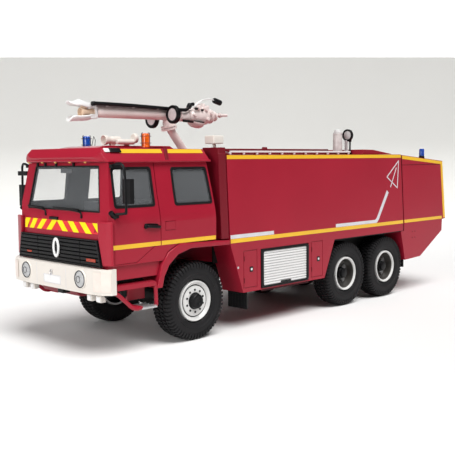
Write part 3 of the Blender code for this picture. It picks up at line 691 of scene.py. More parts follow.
# ---------------------------------------------------------------- chassis
refine("chassis_frame", CHASSIS, 0.12)
refine("engine_and_gearbox", DARK, 0.2)
finish_node("prop_shaft", DARK)
for place in AXLE:
    finish_node(f"{place}_axle_housing", DARK)
under = Kit()
for place, x in AXLE.items():
    for i in range(10):                      # bolts round the differential's joint
        a = math.tau * i / 10
        if math.sin(a) < 0.85:
            under.rod((x + 4.7 * math.cos(a), -0.9, HUB_Z + 4.7 * math.sin(a)),
                      (x + 4.7 * math.cos(a), 0.9, HUB_Z + 4.7 * math.sin(a)), 0.45, sides=6)
    for side, label in SIDES:                # brake chambers and shackles
        under.rod((x - 5.2, side * 12.6, HUB_Z + 1.6), (x - 5.2, side * 15.6, HUB_Z + 1.6),
                  1.7, 1.5, 20, rounded=0.3)
        under.tube([(x - 5.2, side * 12.8, HUB_Z + 1.6), (x - 3.6, side * 9.6, HUB_Z + 3.6),
                    (x - 3.0, side * 9.2, 19.4)], 0.3, 8, smooth=4)
under.make("axle_bolts_and_brake_chambers", DARK, bevel=0.06)
pipes = Kit()
for y in (-5.6, 5.6):
    pipes.tube([(26.0, y, 20.6), (-20.0, y, 20.7), (-24.0, y * 1.3, 20.8),
                (-135.0, y * 1.3, 20.8)], 0.28, 8, smooth=3)
pipes.make("brake_lines", DARK)
rivets = Kit()
for side, label in SIDES:
    y = side * 10.0
    for i in range(30):
        x = 28.0 - i * 6.7
        if any(abs(x - a) < 3.5 for a in AXLE.values()):
            continue
        rivets.dome((x, y, 21.4), 0.32, (0, side, 0), 0.2, 8, 2)
rivets.make("frame_rivets", CHASSIS)


# ---------------------------------------------------------------- cab shell
WALL = 1.3


def cab_faces(c, n):
    """0 outside paint, 1 black window reveals, 2 dark grey inside."""
    x, y, z = c
    side_gap = cab_y(x, z) - abs(y)
    front_gap = front_x(y, z) - x
    rear_gap = x + 9.9
    near = min(side_gap, front_gap, rear_gap)
    if z > 64.4 and n.z < -0.5 and near > 0.9:
        return 2
    if near > WALL * 0.72:
        return 2
    if near > 0.25 and 48.8 < z < 65.2 and side_gap > 0.2:
        return 1
    return 0


cuts = []
for side, label in SIDES:
    cuts += [
        side_cut([(17.1, 30.4), (17.1, 45.0), (17.1, 48.0), (17.1, 55.4), (17.1, 66.6)], side,
                 cab_y),
        side_cut([(38.0, 31.9), (28.0, 31.9), (20.0, 36.8), (17.1, 37.5)], side, cab_y, 0.24,
                 0.3),
        side_cut([(14.8, 45.1), (10.2, 45.1), (10.2, 42.0), (14.8, 42.0)], side, cab_y, 0.22,
                 0.25),
        side_cut([(14.9, 41.9), (14.9, 45.2)], side, cab_y, 0.22, 0.25),
    ]
refine("cab_shell", [RED, GASKET, INSIDE], 0.22, cuts=cuts, sort=cab_faces,
       name="cab_shell_panels")

seal = Kit()
WINDOWS = {
    "front": [(35.6, 51.3), (19.3, 51.3), (19.3, 63.8), (35.3, 63.8)],
    "rear": [(9.0, 51.1), (-8.3, 51.1), (-7.3, 63.5), (9.0, 63.5)]}
for side, label in SIDES:
    for name, opening in WINDOWS.items():
        outer = round_loop(grow(opening, 0.7), 1.3, 5)
        inner = round_loop(grow(opening, -0.2), 0.9, 5)
        seal.frame_ring([(x, side * (cab_y(x, z) + 0.18), z) for x, z in outer],
                        [(x, side * (cab_y(x, z) + 0.22), z) for x, z in inner],
                        (0, -side * 0.5, 0))
screen = [(22.7, 49.4), (19.9, 64.8), (-19.9, 64.8), (-22.7, 49.4)]
outer = round_loop(grow(screen, 0.25), 0.5, 5)
inner = round_loop(grow(screen, -0.3), 0.4, 5)
seal.frame_ring([(front_x(y, z) + 0.14, y, z) for y, z in outer],
                [(front_x(y, z) + 0.1, y, z) for y, z in inner], (-0.4, 0, 0))
seal.make("window_seals", GASKET, bevel=0.12)

# glazing, roof lining, dashboard and seats
panes = Kit()
for side, label in SIDES:
    for name, opening in WINDOWS.items():
        loop = round_loop(grow(opening, 0.3), 0.9, 5)
        panes.loft([[(x, side * (cab_y(x, z) - 0.55), z) for x, z in loop],
                    [(x, side * (cab_y(x, z) - 0.25), z) for x, z in loop]])
loop = grow(screen, 0.2)
columns = 14
for back, front in ((0.75, 0.4),):
    grid = []
    for i in range(columns + 1):
        t = i / columns
        low = (22.7 * (1 - 2 * t), 49.4)
        high = (19.9 * (1 - 2 * t), 64.8)
        grid.append((low, high))
    panes.loft([[(front_x(*low) - front, *low), (front_x(*high) - front, *high),
                 (front_x(*high) - back, *high), (front_x(*low) - back, *low)]
                for low, high in grid])
panes.make("cab_window_panes", GLASS, slot="clear_plastic", replaces="cab_glazing")
refine("cab_interior", INSIDE, 0.5, segments=3)
finish_node("steering_wheel", BLACK)
mirror_in = Kit()
mirror_in.box((34.0, -6.6, 62.3), (34.6, 0.6, 63.9))
mirror_in.make("inside_mirror", INSIDE, bevel=0.3)
dials = Kit()
for y in (11.2, 14.5, 17.8):
    dials.rod((33.0, y, 47.5), (33.0, y, 48.5), 1.2, 1.0, 20)
dials.box((31.2, -18.0, 47.5), (34.8, -6.0, 48.1))
dials.make("dashboard_dials", DARK, bevel=0.15)

# lines and stripes on the cab
stripe = Kit()
for side, label in SIDES:
    on_side(stripe, rect(17.3, 36.9, 38.3, 38.4), side, cab_y)
    on_side(stripe, rect(-9.55, 36.9, 16.9, 38.4), side, cab_y)
    on_side(stripe, [(30.4, 69.2), (11.5, 69.2), (11.5, 70.6), (30.4, 70.6)], side, roof_y, 0.12)
    on_side(stripe, [(9.9, 69.2), (-8.3, 69.2), (-8.3, 70.6), (9.9, 70.6)], side, roof_y, 0.12)
stripe.make("cab_stripes", YELLOW, bevel=0.03)

handles = Kit()
for side, label in SIDES:
    handles.rod((23.9, side * 28.95, 43.95), (23.9, side * 29.7, 43.95), 0.85, 0.75, 18, rounded=0.15)
    handles.tube([(23.6, side * 29.45, 44.0), (21.6, side * 29.75, 43.85), (19.6, side * 29.75, 43.65),
                  (18.2, side * 29.5, 43.5), (17.7, side * 29.0, 43.45)], 0.55, 12, smooth=4)
    handles.tube([(24.4, side * 29.0, 44.7), (21.4, side * 29.1, 44.65), (18.4, side * 29.0, 44.3)],
                 0.25, 8, smooth=3)
handles.make("door_handles", BLACK, bevel=0.05)

# ---------------------------------------------------------------- cab front
bars, field = Kit(), Kit()
Z0, Z1 = 42.0, 45.65


STEPS = [-23.5, -22.5, -21.5, -20.5, -17.5, -16.0, -12, -8, -4, 0.001, 4, 8, 12, 16.0, 17.5,
         20.5, 21.5, 22.5, 23.5]


def between_lines(points, low, high):
    """A convex outline clipped to low <= y <= high."""
    for sign, limit in ((1, high), (-1, -low)):
        result = []
        for a, b in zip(points, points[1:] + points[:1]):
            ina, inb = sign * a[0] <= limit, sign * b[0] <= limit
            if ina:
                result.append(a)
            if ina != inb:
                t = (sign * limit - a[0]) / (b[0] - a[0])
                result.append((sign * limit, a[1] + (b[1] - a[1]) * t))
        points = result
        if len(points) < 3:
            return []
    return points


for y0, y1 in zip(STEPS, STEPS[1:]):
    on_front(field, [(y0, Z0), (y1, Z0), (y1, Z1), (y0, Z1)], 0.05, 0.12)
# each bar's inner edge at the top and at the bottom, and its width
BARS = [(-1, 1.8, 5.1, 3.2), (-1, 8.6, 11.8, 3.1), (-1, 14.9, 17.1, 2.9), (-1, 19.9, 22.0, 3.2),
        (1, -2.1, 2.2, 3.3), (1, 4.9, 9.0, 3.35), (1, 12.0, 16.5, 3.4), (1, 19.8, 23.8, 3.5)]
for sign, high, low, wide in BARS:
    outline = [(sign * high, Z1), (sign * (high + wide), Z1), (sign * (low + wide), Z0),
               (sign * low, Z0)]
    for y0, y1 in zip(STEPS, STEPS[1:]):
        cell = between_lines(outline, y0, y1)
        if cell:
            on_front(bars, cell, 0.17, 0.03)
field.make("chevron_field", SCARLET)
bars.make("chevron_bars", LEMON)

grille, slats = Kit(), Kit()
grille.prism([(26.2, 31.0), (24.3, 40.2), (-24.3, 40.2), (-26.2, 31.0)], "YZ", 40.24, 40.55)
frame_outer = [(26.2, 31.0), (24.3, 40.2), (-24.3, 40.2), (-26.2, 31.0)]
frame_inner = [(25.5, 31.5), (23.7, 39.75), (-23.7, 39.75), (-25.5, 31.5)]
grille.frame_ring([(41.25, y, z) for y, z in frame_outer], [(41.25, y, z) for y, z in frame_inner],
                  (-0.75, 0, 0))
for i in range(6):
    z0 = 31.66 + i * 1.36
    for y0, y1 in ((-1, -12.75), (-12.45, 14.2), (14.5, 1)):
        half0 = between(z0, [(31.0, 25.5), (40.2, 23.6)])
        lo = -half0 if y0 == -1 else y0
        hi = half0 if y1 == 1 else y1
        lo, hi = min(lo, hi), max(lo, hi)
        slats.prism([(40.5, z0 + 0.05), (41.1, z0 - 0.05), (41.22, z0 + 0.1), (41.22, z0 + 0.9),
                     (41.0, z0 + 1.08), (40.5, z0 + 1.08)], "XZ", lo, hi)
grille.make("grille_frame", BLACK, bevel=0.1, replaces="grille", slot="black_plastic")
slats.make("grille_slats", BLACK, bevel=0.05)
badge = Kit()
oval = [(2.05 * math.cos(a) * (1 if abs(math.cos(a)) < 2 else 1), 36.1 + 3.55 * math.sin(a))
        for a in [math.tau * i / 40 for i in range(40)]]
hole = [(1.0 * math.cos(a), 36.1 + 2.4 * math.sin(a)) for a in [math.tau * i / 40 for i in range(40)]]
badge.frame_ring([(41.75, y, z) for y, z in oval], [(41.75, y, z) for y, z in hole], (-0.5, 0, 0))
badge.make("plain_oval_badge", WHITE, bevel=0.14)
tags = Kit()
tags.box((41.2, 18.3, 32.7), (41.42, 23.6, 33.75))
tags.box((41.2, -20.0, 33.1), (41.42, -16.9, 33.75))
tags.make("plain_grille_tags", ORANGE, bevel=0.08)
catch = Kit()
catch.box((39.15, -6.6, 45.75), (40.0, -1.3, 46.85))
catch.make("front_flap_catch", BLACK, bevel=0.25, segments=3)

wipers = Kit()
for pivot, tip, reach in ((-9.9, -22.6, 0.0), (12.9, -5.6, 0.3)):
    wipers.rod((38.7, pivot, 47.2), (39.5, pivot, 47.3), 0.5, 0.42, 16, rounded=0.12)
    wipers.tube([(39.35, pivot, 47.3), (39.25, pivot - 0.1, 48.3), (39.1, pivot - 1.2, 49.0),
                 (39.0, pivot - 6.0, 49.4), (38.85, tip + 2.0, 49.75)], 0.3, 8, smooth=4)
    wipers.tube([(38.9, pivot - 2.0, 49.75), (38.9, (pivot + tip) / 2, 50.0),
                 (38.8, tip, 50.15)], 0.36, 8, smooth=4)
wipers.make("wipers", BLACK, bevel=0.06)

# bumper with its panels, lamps, blank plate and eye
cuts = [box_cut((42.5, -10.42, 21.5), (44.5, -10.18, 31.5)),
        box_cut((42.5, 8.48, 21.5), (44.5, 8.72, 31.5)),
        box_cut((40.2, 24.0, 21.5), (44.5, 24.2, 31.5)),
        box_cut((40.2, -24.2, 21.5), (44.5, -24.0, 31.5))]
refine("front_bumper", CREAM, 0.55, segments=3, angle=24, cuts=(),
       name="front_bumper_shell")
lines, ring, lens, dish, lip = Kit(), Kit(), Kit(), Kit(), Kit()
lines.box((43.2, -10.4, 22.5), (43.33, -10.25, 30.1))
lines.box((43.2, 8.5, 22.5), (43.33, 8.65, 30.1))
lines.box((43.3, -5.6, 23.5), (43.42, 5.2, 23.62))
lines.box((43.3, -5.6, 26.4), (43.42, 5.2, 26.52))
lines.box((43.3, -5.6, 23.5), (43.42, -5.48, 26.5))
lines.box((43.3, 5.1, 23.5), (43.42, 5.22, 26.5))
lines.make("bumper_lines", PALE)
plate = Kit()
plate.box((43.22, -5.45, 23.65), (43.4, 5.05, 26.38))
plate.make("blank_number_plate", WHITE, bevel=0.1)
for side, label in SIDES:
    c = (43.1, side * 17.3, 26.7)
    ring.lathe([(2.86, -0.4), (2.9, 0.3), (3.05, 0.5), (3.3, 0.45), (3.5, 0.0), (3.45, -0.5),
                (2.86, -0.4)], c, (1, 0, 0), 40)
    dish.lathe([(2.8, 0.2), (2.5, 0.16), (1.6, 0.08), (0.7, 0.05), (0, 0.05), (0, -0.3), (2.8, -0.3),
                (2.8, 0.2)][::-1], c, (1, 0, 0), 32)
    dish.dome((43.15, side * 17.3, 26.7), 0.9, (1, 0, 0), 0.6, 16, 4)
    lip.lathe([(2.7, 0.35), (2.72, 0.62), (2.98, 0.62), (3.0, 0.35), (2.7, 0.35)], c, (1, 0, 0), 40)
    lip.lathe([(1.0, 1.0), (1.02, 1.16), (1.18, 1.14), (1.2, 0.98), (1.0, 1.0)], c, (1, 0, 0), 32)
    for k in range(-3, 4):
        dish.box((43.1, side * 17.3 + k * 0.7 - 0.1, 26.7 - math.sqrt(7.0 - (k * 0.7) ** 2)),
                 (43.45, side * 17.3 + k * 0.7 + 0.1, 26.7 + math.sqrt(7.0 - (k * 0.7) ** 2)))
    lens.lathe([(2.85, 0.3), (2.8, 0.45), (2.3, 0.75), (1.3, 1.0), (0, 1.1)][::-1], c,
               (1, 0, 0), 32)
ring.make("headlamp_surrounds", CREAM, bevel=0.05)
lip.make("headlamp_inner_rings", INSIDE)
dish.make("headlamp_reflectors", SILVER, replaces=("headlamp_left", "headlamp_right"))
lens.make("headlamp_lenses", LENS, slot="lamp_lens")
eye = Kit()
eye.tube([(43.55, -0.5 + 0.6 * math.cos(a), 27.5 + 0.8 * math.sin(a))
          for a in [math.tau * i / 16 for i in range(16)]], 0.17, 8, closed=True)
eye.make("bumper_eye", SILVER)
panels = Kit()
for side, label in SIDES:
    pts = [(42.9, 24.4), (42.14, 27.6), (39.9, 30.18)]
    for (xa, ya), (xb, yb) in zip(pts, pts[1:]):
        nx, ny = (yb - ya), -(xb - xa)
        k = 0.07 / math.hypot(nx, ny)
        outer = [(xa + nx * k, side * (ya + ny * k)), (xb + nx * k, side * (yb + ny * k))]
        inner = [(xa - nx * k, side * (ya - ny * k)), (xb - nx * k, side * (yb - ny * k))]
        panels.prism([outer[0], outer[1], inner[1], inner[0]], "XY", 23.1, 29.6)
PANEL = surface("indicator_panel", (0.80, 0.70, 0.64), 0.35, vary=0.04, size=3, bump=0.3,
                bump_size=0.3)
panels.make("indicator_panels", PANEL)
refine("front_skid_plate", DARK_RED, 0.25)
hitch = Kit()
hitch.box((40.4, 3.4, 20.6), (43.5, 6.9, 22.0))
hitch.box((41.0, 4.2, 22.0), (42.6, 6.1, 23.2))
hitch.make("front_hitch", BLACK, bevel=0.2)
fog, foglens = Kit(), Kit()
for side, label in SIDES:
    fog.box((38.0, min(side * 12, side * 26), 20.7), (39.0, max(side * 12, side * 26), 21.6))
fog.make("fog_lamp_brackets", BLACK, bevel=0.12, replaces=("fog_lamps_left", "fog_lamps_right"),
         slot="black_plastic")
cups = Kit()
for side, label in SIDES:
    for y in (23.75, 18.45):
        c = (38.3, side * y, 20.25)
        cups.box((c[0], c[1] - 1.35, 18.95), (c[0] + 2.3, c[1] + 1.35, 21.45))
        foglens.box((c[0] + 2.2, c[1] - 1.05, 19.25), (c[0] + 2.5, c[1] + 1.05, 21.15))
cups.make("fog_lamp_cups", CREAM, bevel=0.45, segments=3)
foglens.make("fog_lamp_lenses", WHITE, bevel=0.12)

for side, label in SIDES:
    refine(f"corner_deflector_{label}", RED, 0.3, angle=40)
    refine(f"front_fender_{label}", RED, 0.4, segments=3, angle=50)

# ---------------------------------------------------------------- cab steps
for side, label in SIDES:
    step, tread, holes, boxes, panel = Kit(), Kit(), Kit(), Kit(), Kit()
    y0, y1 = sorted((side * 22.0, side * 29.0))
    step.box((20.0, y0, 22.95), (36.5, y1, 24.55))
    for i in range(26):
        x = 20.5 + i * 0.62
        for j in range(3):
            y = side * (28.75 - j * 1.1)
            holes.rod((x, y, 24.5), (x, y, 24.95), 0.2, 0.12, sides=8)
    y = side * 28.3
    step.tube([(36.9, y, 22.2), (35.6, y, 21.4), (31.0, y, 17.4), (29.4, y, 16.2),
               (27.6, y, 15.75), (26.4, y, 15.9)], 0.72, 12, smooth=3)
    step.tube([(19.7, y, 24.0), (19.4, y, 21.4), (19.3, y, 16.4), (19.8, y, 15.5)], 0.72, 12,
              smooth=3)
    step.box((25.8, min(side * 22.6, side * 29.0), 15.3), (27.2, max(side * 22.6, side * 29.0), 16.4))
    # etched tread: long bars, cross bars and a toothed edge
    for k in range(5):
        y = side * (22.8 + k * 1.5)
        tread.box((19.4, y - 0.16, 15.35), (26.2, y + 0.16, 15.95))
    for k in range(8):
        x = 19.8 + k * 0.88
        tread.box((x - 0.12, y0 + 0.8, 15.4), (x + 0.12, y1 - 0.1, 15.85))
    for k in range(16):
        x = 19.7 + k * 0.42
        tread.rod((x, side * 28.9, 15.6), (x, side * 28.9, 16.35), 0.15, 0.05, 6)
        tread.rod((x, side * 23.0, 15.6), (x, side * 23.0, 16.35), 0.15, 0.05, 6)
    tread.box((19.4, min(side * 28.7, side * 29.1), 15.25), (26.2, max(side * 28.7, side * 29.1), 15.7))
    # panel and boxes set back under the step
    y0, y1 = sorted((side * 20.2, side * 21.2))
    panel.box((18.7, y0, 17.4), (26.5, y1, 22.9))
    y0, y1 = sorted((side * 19.9, side * 21.4))
    boxes.box((26.7, y0, 18.9), (29.0, y1, 21.4))
    step.make(f"cab_step_frame_{label}", RED, bevel=0.12, replaces=f"cab_step_{label}",
              slot="red_paint")
    tread.make(f"etched_tread_{label}", SILVER)
    holes.make(f"step_grip_{label}", RED)
    panel.make(f"step_back_panel_{label}", RED, bevel=0.1)
    boxes.make(f"step_back_box_{label}", BLACK, bevel=0.3, segments=3)

# ---------------------------------------------------------------- mirrors
for side, label in SIDES:
    arm, glass = Kit(), Kit()
    arm.tube([(35.6, side * 26.4, 65.0), (35.6, side * 30.4, 65.7), (35.3, side * 32.1, 64.6),
              (35.15, side * 32.5, 62.0), (35.1, side * 32.9, 50.4), (35.3, side * 32.2, 49.2),
              (36.8, side * 29.4, 48.9)], 0.45, 12, smooth=5)
    arm.rod((36.2, side * 28.2, 47.6), (38.4, side * 28.6, 49.6), 1.0, 0.9, 14, rounded=0.25)
    arm.box((35.0, min(side * 27.6, side * 28.9), 47.5), (37.4, max(side * 27.6, side * 28.9), 48.6))
    arm.box((32.6, min(side * 26.0, side * 27.3), 64.2), (36.6, max(side * 26.0, side * 27.3), 65.4))
    head = 52.4 if side > 0 else 49.4
    y0, y1 = sorted((side * 31.1, side * 35.3))
    arm.box((33.5, y0, head), (35.2, y1, head + 8.2))
    if side < 0:
        arm.box((34.5, -35.2, 61.2), (35.6, -28.6, 62.9))
    arm.make(f"mirror_arm_{label}", BLACK, bevel=0.3, segments=3, angle=50,
             replaces=f"mirror_{label}", slot="black_plastic")
    glass.box((33.38, y0 + 0.45, head + 0.45), (33.52, y1 - 0.45, head + 7.75))
    glass.make(f"mirror_glass_{label}", SILVER, bevel=0.05)

# ---------------------------------------------------------------- cab roof
refine("cab_roof", RED, 0.35, segments=3, angle=22, name="cab_roof_panel")
roof = Kit()
for side, label in SIDES:
    pts = [(10.5, 66.5), (11.9, 66.5), (9.9, 71.2), (8.3, 71.2)]
    on_side(roof, pts, side, roof_y, 0.4, 0.2)
    roof.box((8.3, min(side * 11.5, side * 22.5), 71.0), (9.9, max(side * 11.5, side * 22.5), 71.45))
roof.make("roof_straps", DARK_RED, bevel=0.1)
gutter = Kit()
for side, label in SIDES:
    gutter.tube([(34.6, side * 26.2, 66.35), (-9.6, side * 26.2, 66.35)], 0.42, 10)
gutter.tube([(37.6, -24.4, 66.75), (38.5, -20.4, 66.75), (38.85, -12, 66.75), (38.85, 12, 66.75),
             (38.5, 20.4, 66.75), (37.6, 24.4, 66.75)], 0.38, 10)
gutter.make("roof_edge_gutter", RED)
clips = Kit()
for y in (-18.5, -13.2, -6.0, 5.2):
    clips.box((36.4, y - 0.5, 64.6), (37.0, y + 0.5, 66.0))
clips.make("windscreen_clips", BLACK, bevel=0.1)
corner, cornerlens = Kit(), Kit()
for side, label in SIDES:
    pts = [(29.7, 69.45), (34.4, 69.45), (34.4, 70.95), (29.7, 70.95)]
    on_side(corner, pts, side, roof_y, 0.75, 0.3)
    pts = [(34.4, 69.55), (36.5, 69.55), (36.5, 70.85), (34.4, 70.85)]
    on_side(cornerlens, pts, side, roof_y, 0.68, 0.3)
corner.make("corner_lamp_bodies", BLACK, bevel=0.3, segments=3)
cornerlens.make("corner_lamp_lenses", WHITE, bevel=0.3, segments=3)
marker = Kit()
for y in (-23.0, -13.2, -3.9, 5.1, 14.2):
    marker.dome((38.3 - abs(y) * 0.028, y, 66.35), 0.55, (0.8, 0, -0.6), 0.6, 12, 4)
marker.make("marker_lamps", MARKER)

# beacons: lens, ribs, base, top and wire guard
def beacon(name, node, x, y, z0, z1, radius, lens_material, foot, foot_material, guarded=True):
    lens, base, guard = Kit(), Kit(), Kit()
    lens.lathe([(radius - 0.3, z0 + foot - 0.1), (radius, z0 + foot), (radius * 0.97, z1 - 0.5),
                (radius * 0.8, z1 - 0.12), (radius * 0.45, z1), (0, z1)][::-1], (x, y, 0),
               (0, 0, 1), 28)
    for i in range(8):
        a = math.tau * (i + 0.25) / 8
        lens.tube([(x + radius * math.cos(a), y + radius * math.sin(a), z0 + foot),
                   (x + radius * 0.97 * math.cos(a), y + radius * 0.97 * math.sin(a), z1 - 0.5)],
                  0.12, 6)
    base.lathe([(radius + 0.2, z0), (radius + 0.2, z0 + foot * 0.6), (radius, z0 + foot), (0, z0 + foot)],
               (x, y, 0), (0, 0, 1), 28)
    lens.make(name + "_lens", lens_material, replaces=node)
    base.make(name + "_base", foot_material, bevel=0.1)
    if not guarded:
        guard.bm.free()
        return
    r = radius + 0.62
    for a in (math.radians(k) for k in (10, 100, 190, 280)):
        guard.tube([(x + r * math.cos(a), y + r * math.sin(a), z0),
                    (x + r * math.cos(a), y + r * math.sin(a), z1 - 0.1),
                    (x + r * 0.8 * math.cos(a), y + r * 0.8 * math.sin(a), z1 + 0.15)], 0.12, 6)
    for h in (z1 - 1.1, z0 + 1.6):
        guard.tube([(x + r * math.cos(a), y + r * math.sin(a), h)
                    for a in [math.tau * i / 20 for i in range(20)]], 0.1, 6, closed=True)
    guard.make(name + "_guard", GUARD_RED if lens_material is AMBER else BLACK)


GUARD_RED = surface("guard_dark_red", (0.08, 0.004, 0.006), 0.4, vary=0.1, size=2)
beacon("amber_beacon", "beacon_left", 14.4, 18.0, 71.25, 76.4, 1.35, AMBER, 0.8, AMBER)
beacon("blue_beacon", "beacon_right", 14.9, -18.0, 71.25, 76.4, 1.5, BLUE, 1.1, BLACK)
beacon("rear_blue_beacon", "rear_beacon", -168.8, 20.5, 66.2, 71.6, 1.3, BLUE, 1.6, BLACK,
       guarded=False)
loop = Kit()
loop.tube([(18.9, -9.0, 72.1), (18.4, -9.0, 74.0), (17.6, -9.4, 75.9), (16.6, -9.8, 74.6),
           (16.9, -9.8, 72.1)], 0.13, 6)
loop.make("roof_wire_loop", BLACK)

horn = Kit()
horn.lathe([(0, 0.0), (1.3, 0.0), (1.45, 0.3), (1.45, 3.8), (1.3, 4.0), (1.3, 5.2), (1.7, 6.0),
            (1.85, 7.3), (1.7, 7.4), (1.45, 6.2), (0.9, 5.4), (0, 5.2)], (16.2, 5.0, 74.1),
           (1, 0, 0), 32)
horn.lathe([(0.9, 0.0), (0.95, 1.0), (0.95, 7.2), (0.8, 7.6), (0, 7.7)], (15.1, 12.0, 73.35),
           (1, 0, 0), 24)
horn.lathe([(1.5, 0.0), (1.75, 0.3), (1.75, 1.3), (1.5, 1.6), (1.2, 1.45), (0, 1.3)],
           (13.9, 12.0, 74.7), (1, 0, 0), 28)
horn.box((18.6, 4.4, 72.0), (20.6, 5.6, 73.2))
horn.box((16.2, 8.2, 72.0), (18.6, 10.9, 74.0))
horn.rod((17.4, 8.6, 73.0), (17.4, 5.6, 73.0), 0.3, sides=10)
horn.make("roof_horns_finish", CREAM, bevel=0.06, replaces="roof_horns", slot="cream_paint")

# ---------------------------------------------------------------- frame behind the cab
refine("cab_rear_frame", DARK_RED, 0.3, segments=2)
lamp, lamplens = Kit(), Kit()
lamp.box((-18.4, 19.7, 72.7), (-13.0, 24.9, 75.9))
lamp.rod((-15.7, 22.3, 71.3), (-15.7, 22.3, 72.9), 0.7, sides=16)
lamplens.box((-18.6, 20.2, 73.1), (-18.38, 24.4, 75.5))
lamp.make("work_lamp_housing", CREAM, bevel=0.45, segments=3, replaces="roof_work_lamp",
          slot="cream_paint")
lamplens.make("work_lamp_glass", LENS, bevel=0.1)

# ---------------------------------------------------------------- main body
def loop_cuts(points, side, width=0.26, depth=0.3):
    """Groove cutters along a closed outline on the body's side."""
    pts = points + points[:1]
    return [side_cut([a, b], side, body_y, width, depth) for a, b in zip(pts, pts[1:])]


DOORS = [(-32.2, 16.4, -24.6, 31.0), (-74.15, 15.9, -66.4, 31.2)]
cuts = []
for side, label in SIDES:
    for x0, z0, x1, z1 in DOORS:
        cuts += loop_cuts(rect(x0, z0, x1, z1), side)
refine("main_body", RED, 0.3, cuts=cuts, name="main_body_panels")

MODULE_TOP = [(-178.0, 65.0), (-139.2, 68.2)]


def module_faces(c, n):
    x, y, z = c
    if x > -142.4 and z < 17.6 and abs(y) < 27.9 and (z < 16.1 or abs(n.x) < 0.3):
        return 1
    if x > -141.3 and z < 15.9:
        return 1
    return 0


cuts = []
for side, label in SIDES:
    cuts.append(side_cut([(-139.0, 63.3), (-179.2, 63.3)], side, body_y, 0.24, 0.28))
cuts += [box_cut((-179.0, -24.0, 62.4), (-178.0, 24.0, 62.65)),
         box_cut((-180.0, -21.3, 36.0), (-178.1, -21.05, 60.0)),
         box_cut((-180.0, 21.05, 36.0), (-178.1, 21.3, 60.0)),
         box_cut((-180.0, -21.3, 59.8), (-178.1, 21.3, 60.05))]
refine("rear_module", [RED, BLACK], 0.35, segments=2, cuts=cuts,
       sort=module_faces, name="rear_module_panels")

flaps = Kit()
for side, label in SIDES:
    y0, y1 = sorted((side * 17.7, side * 28.1))
    flaps.box((-27.55, y0, 7.5), (-26.95, y1, 14.45))
    flaps.box((-27.0, y0 + 0.3, 13.4), (-26.7, y1 - 0.3, 14.2))
    for k in range(6):
        x = y0 + 1.0 + k * (y1 - y0 - 2.0) / 5
        flaps.box((-26.98, x - 0.12, 8.0), (-26.85, x + 0.12, 13.2))
flaps.make("mud_flaps_ribbed", BLACK, bevel=0.08, slot="black_plastic",
           replaces=("mud_flap_left", "mud_flap_right"))

stripes, grey, seam_shade_strip = Kit(), Kit(), Kit()
for side, label in SIDES:
    on_side(stripes, rect(-138.3, 34.6, -17.5, 36.2), side, body_y)
    on_side(stripes, rect(-175.4, 34.7, -139.4, 36.2), side, body_y)
    on_side(stripes, rect(-138.3, 66.85, -17.5, 68.35), side, body_y)
    on_side(stripes, [(-139.4, 66.3), (-177.2, 63.3), (-177.75, 64.75), (-139.4, 67.95)], side,
            body_y)
    on_side(stripes, [(-178.75, 35.2), (-176.9, 35.2), (-176.0, 63.5), (-177.9, 64.6)], side,
            body_y, 0.075)
    # near-black red strips along the seams and below the shutters are painted shade
    on_side(seam_shade_strip, rect(-177.0, 63.15, -139.4, 63.4), side, body_y, 0.02)
    on_side(seam_shade_strip, rect(-138.75, 31.2, -138.35, 68.2), side, body_y, 0.02)
    on_side(grey, rect(-42.4, 36.3, -17.5, 37.75), side, body_y)
    on_side(grey, [(-83.75, 36.3), (-115.4, 36.3), (-117.1, 37.6), (-126.35, 50.2),
                   (-125.0, 51.4), (-115.6, 38.6), (-114.3, 37.75), (-83.75, 37.75)], side, body_y)
    # a plain arrowhead in outline over the bar's end
    tip, left_wing, right_wing = (-136.1, 65.4), (-125.5, 57.7), (-134.1, 52.2)
    for a, b in ((tip, left_wing), (left_wing, right_wing), (right_wing, tip),
                 ((-128.3, 52.9), (-133.8, 61.9))):
        d = (Vector(b) - Vector(a)).normalized()
        n = Vector((-d.y, d.x)) * 0.26
        a2, b2 = Vector(a) - d * 0.2, Vector(b) + d * 0.2
        on_side(grey, [tuple(a2 - n), tuple(b2 - n), tuple(b2 + n), tuple(a2 + n)], side, body_y,
                0.05)
    on_side(seam_shade_strip, rect(-64.4, 13.9, -34.6, 14.55), side, body_y, 0.02, 0.3)
stripes.make("body_stripes", YELLOW, bevel=0.03)
# a near-black red painted as the shade in the seams and under the shutters
SEAM_SHADOW = surface("seam_shadow_red", (0.035, 0.002, 0.004), 0.5, vary=0.1, size=3, specular=0.2)
seam_shade_strip.make("side_seam_shadow_strips", SEAM_SHADOW)
grey.make("grey_side_bars", PALE)

# roller shutters: black surround, white slats, hand rail
for side, label in SIDES:
    surround, slat, rail = Kit(), Kit(), Kit()
    outer = round_loop(rect(-64.5, 15.1, -34.5, 30.9), 1.5, 6)
    inner = round_loop(rect(-63.0, 16.0, -36.0, 29.9), 1.0, 6)
    surround.frame_ring([(x, side * 29.35, z) for x, z in outer],
                        [(x, side * 29.35, z) for x, z in inner], (0, -side * 1.2, 0))
    surround.box((-64.3, min(side * 28.15, side * 28.4), 15.3),
                 (-34.7, max(side * 28.15, side * 28.4), 30.7))
    n = 13
    pitch = 14.0 / n
    for i in range(n):
        z0 = 15.95 + i * pitch
        pts = [(side * 28.35, z0 + 0.04), (side * 28.95, z0 + 0.06), (side * 29.1, z0 + 0.3),
               (side * 29.1, z0 + pitch - 0.38), (side * 28.95, z0 + pitch - 0.14),
               (side * 28.35, z0 + pitch - 0.12)]
        slat.prism(pts, "YZ", -62.95, -36.05)
    rail.box((-52.6, min(side * 29.0, side * 29.45), 16.2),
             (-46.4, max(side * 29.0, side * 29.45), 16.9))
    surround.make(f"shutter_surround_{label}", BLACK, bevel=0.15, slot="black_plastic",
                  replaces=f"roller_shutter_{label}")
    slat.make(f"shutter_slats_{label}", WHITE, slot="white_paint", soft_angle=50)
    rail.make(f"shutter_rail_{label}", BLACK, bevel=0.12)

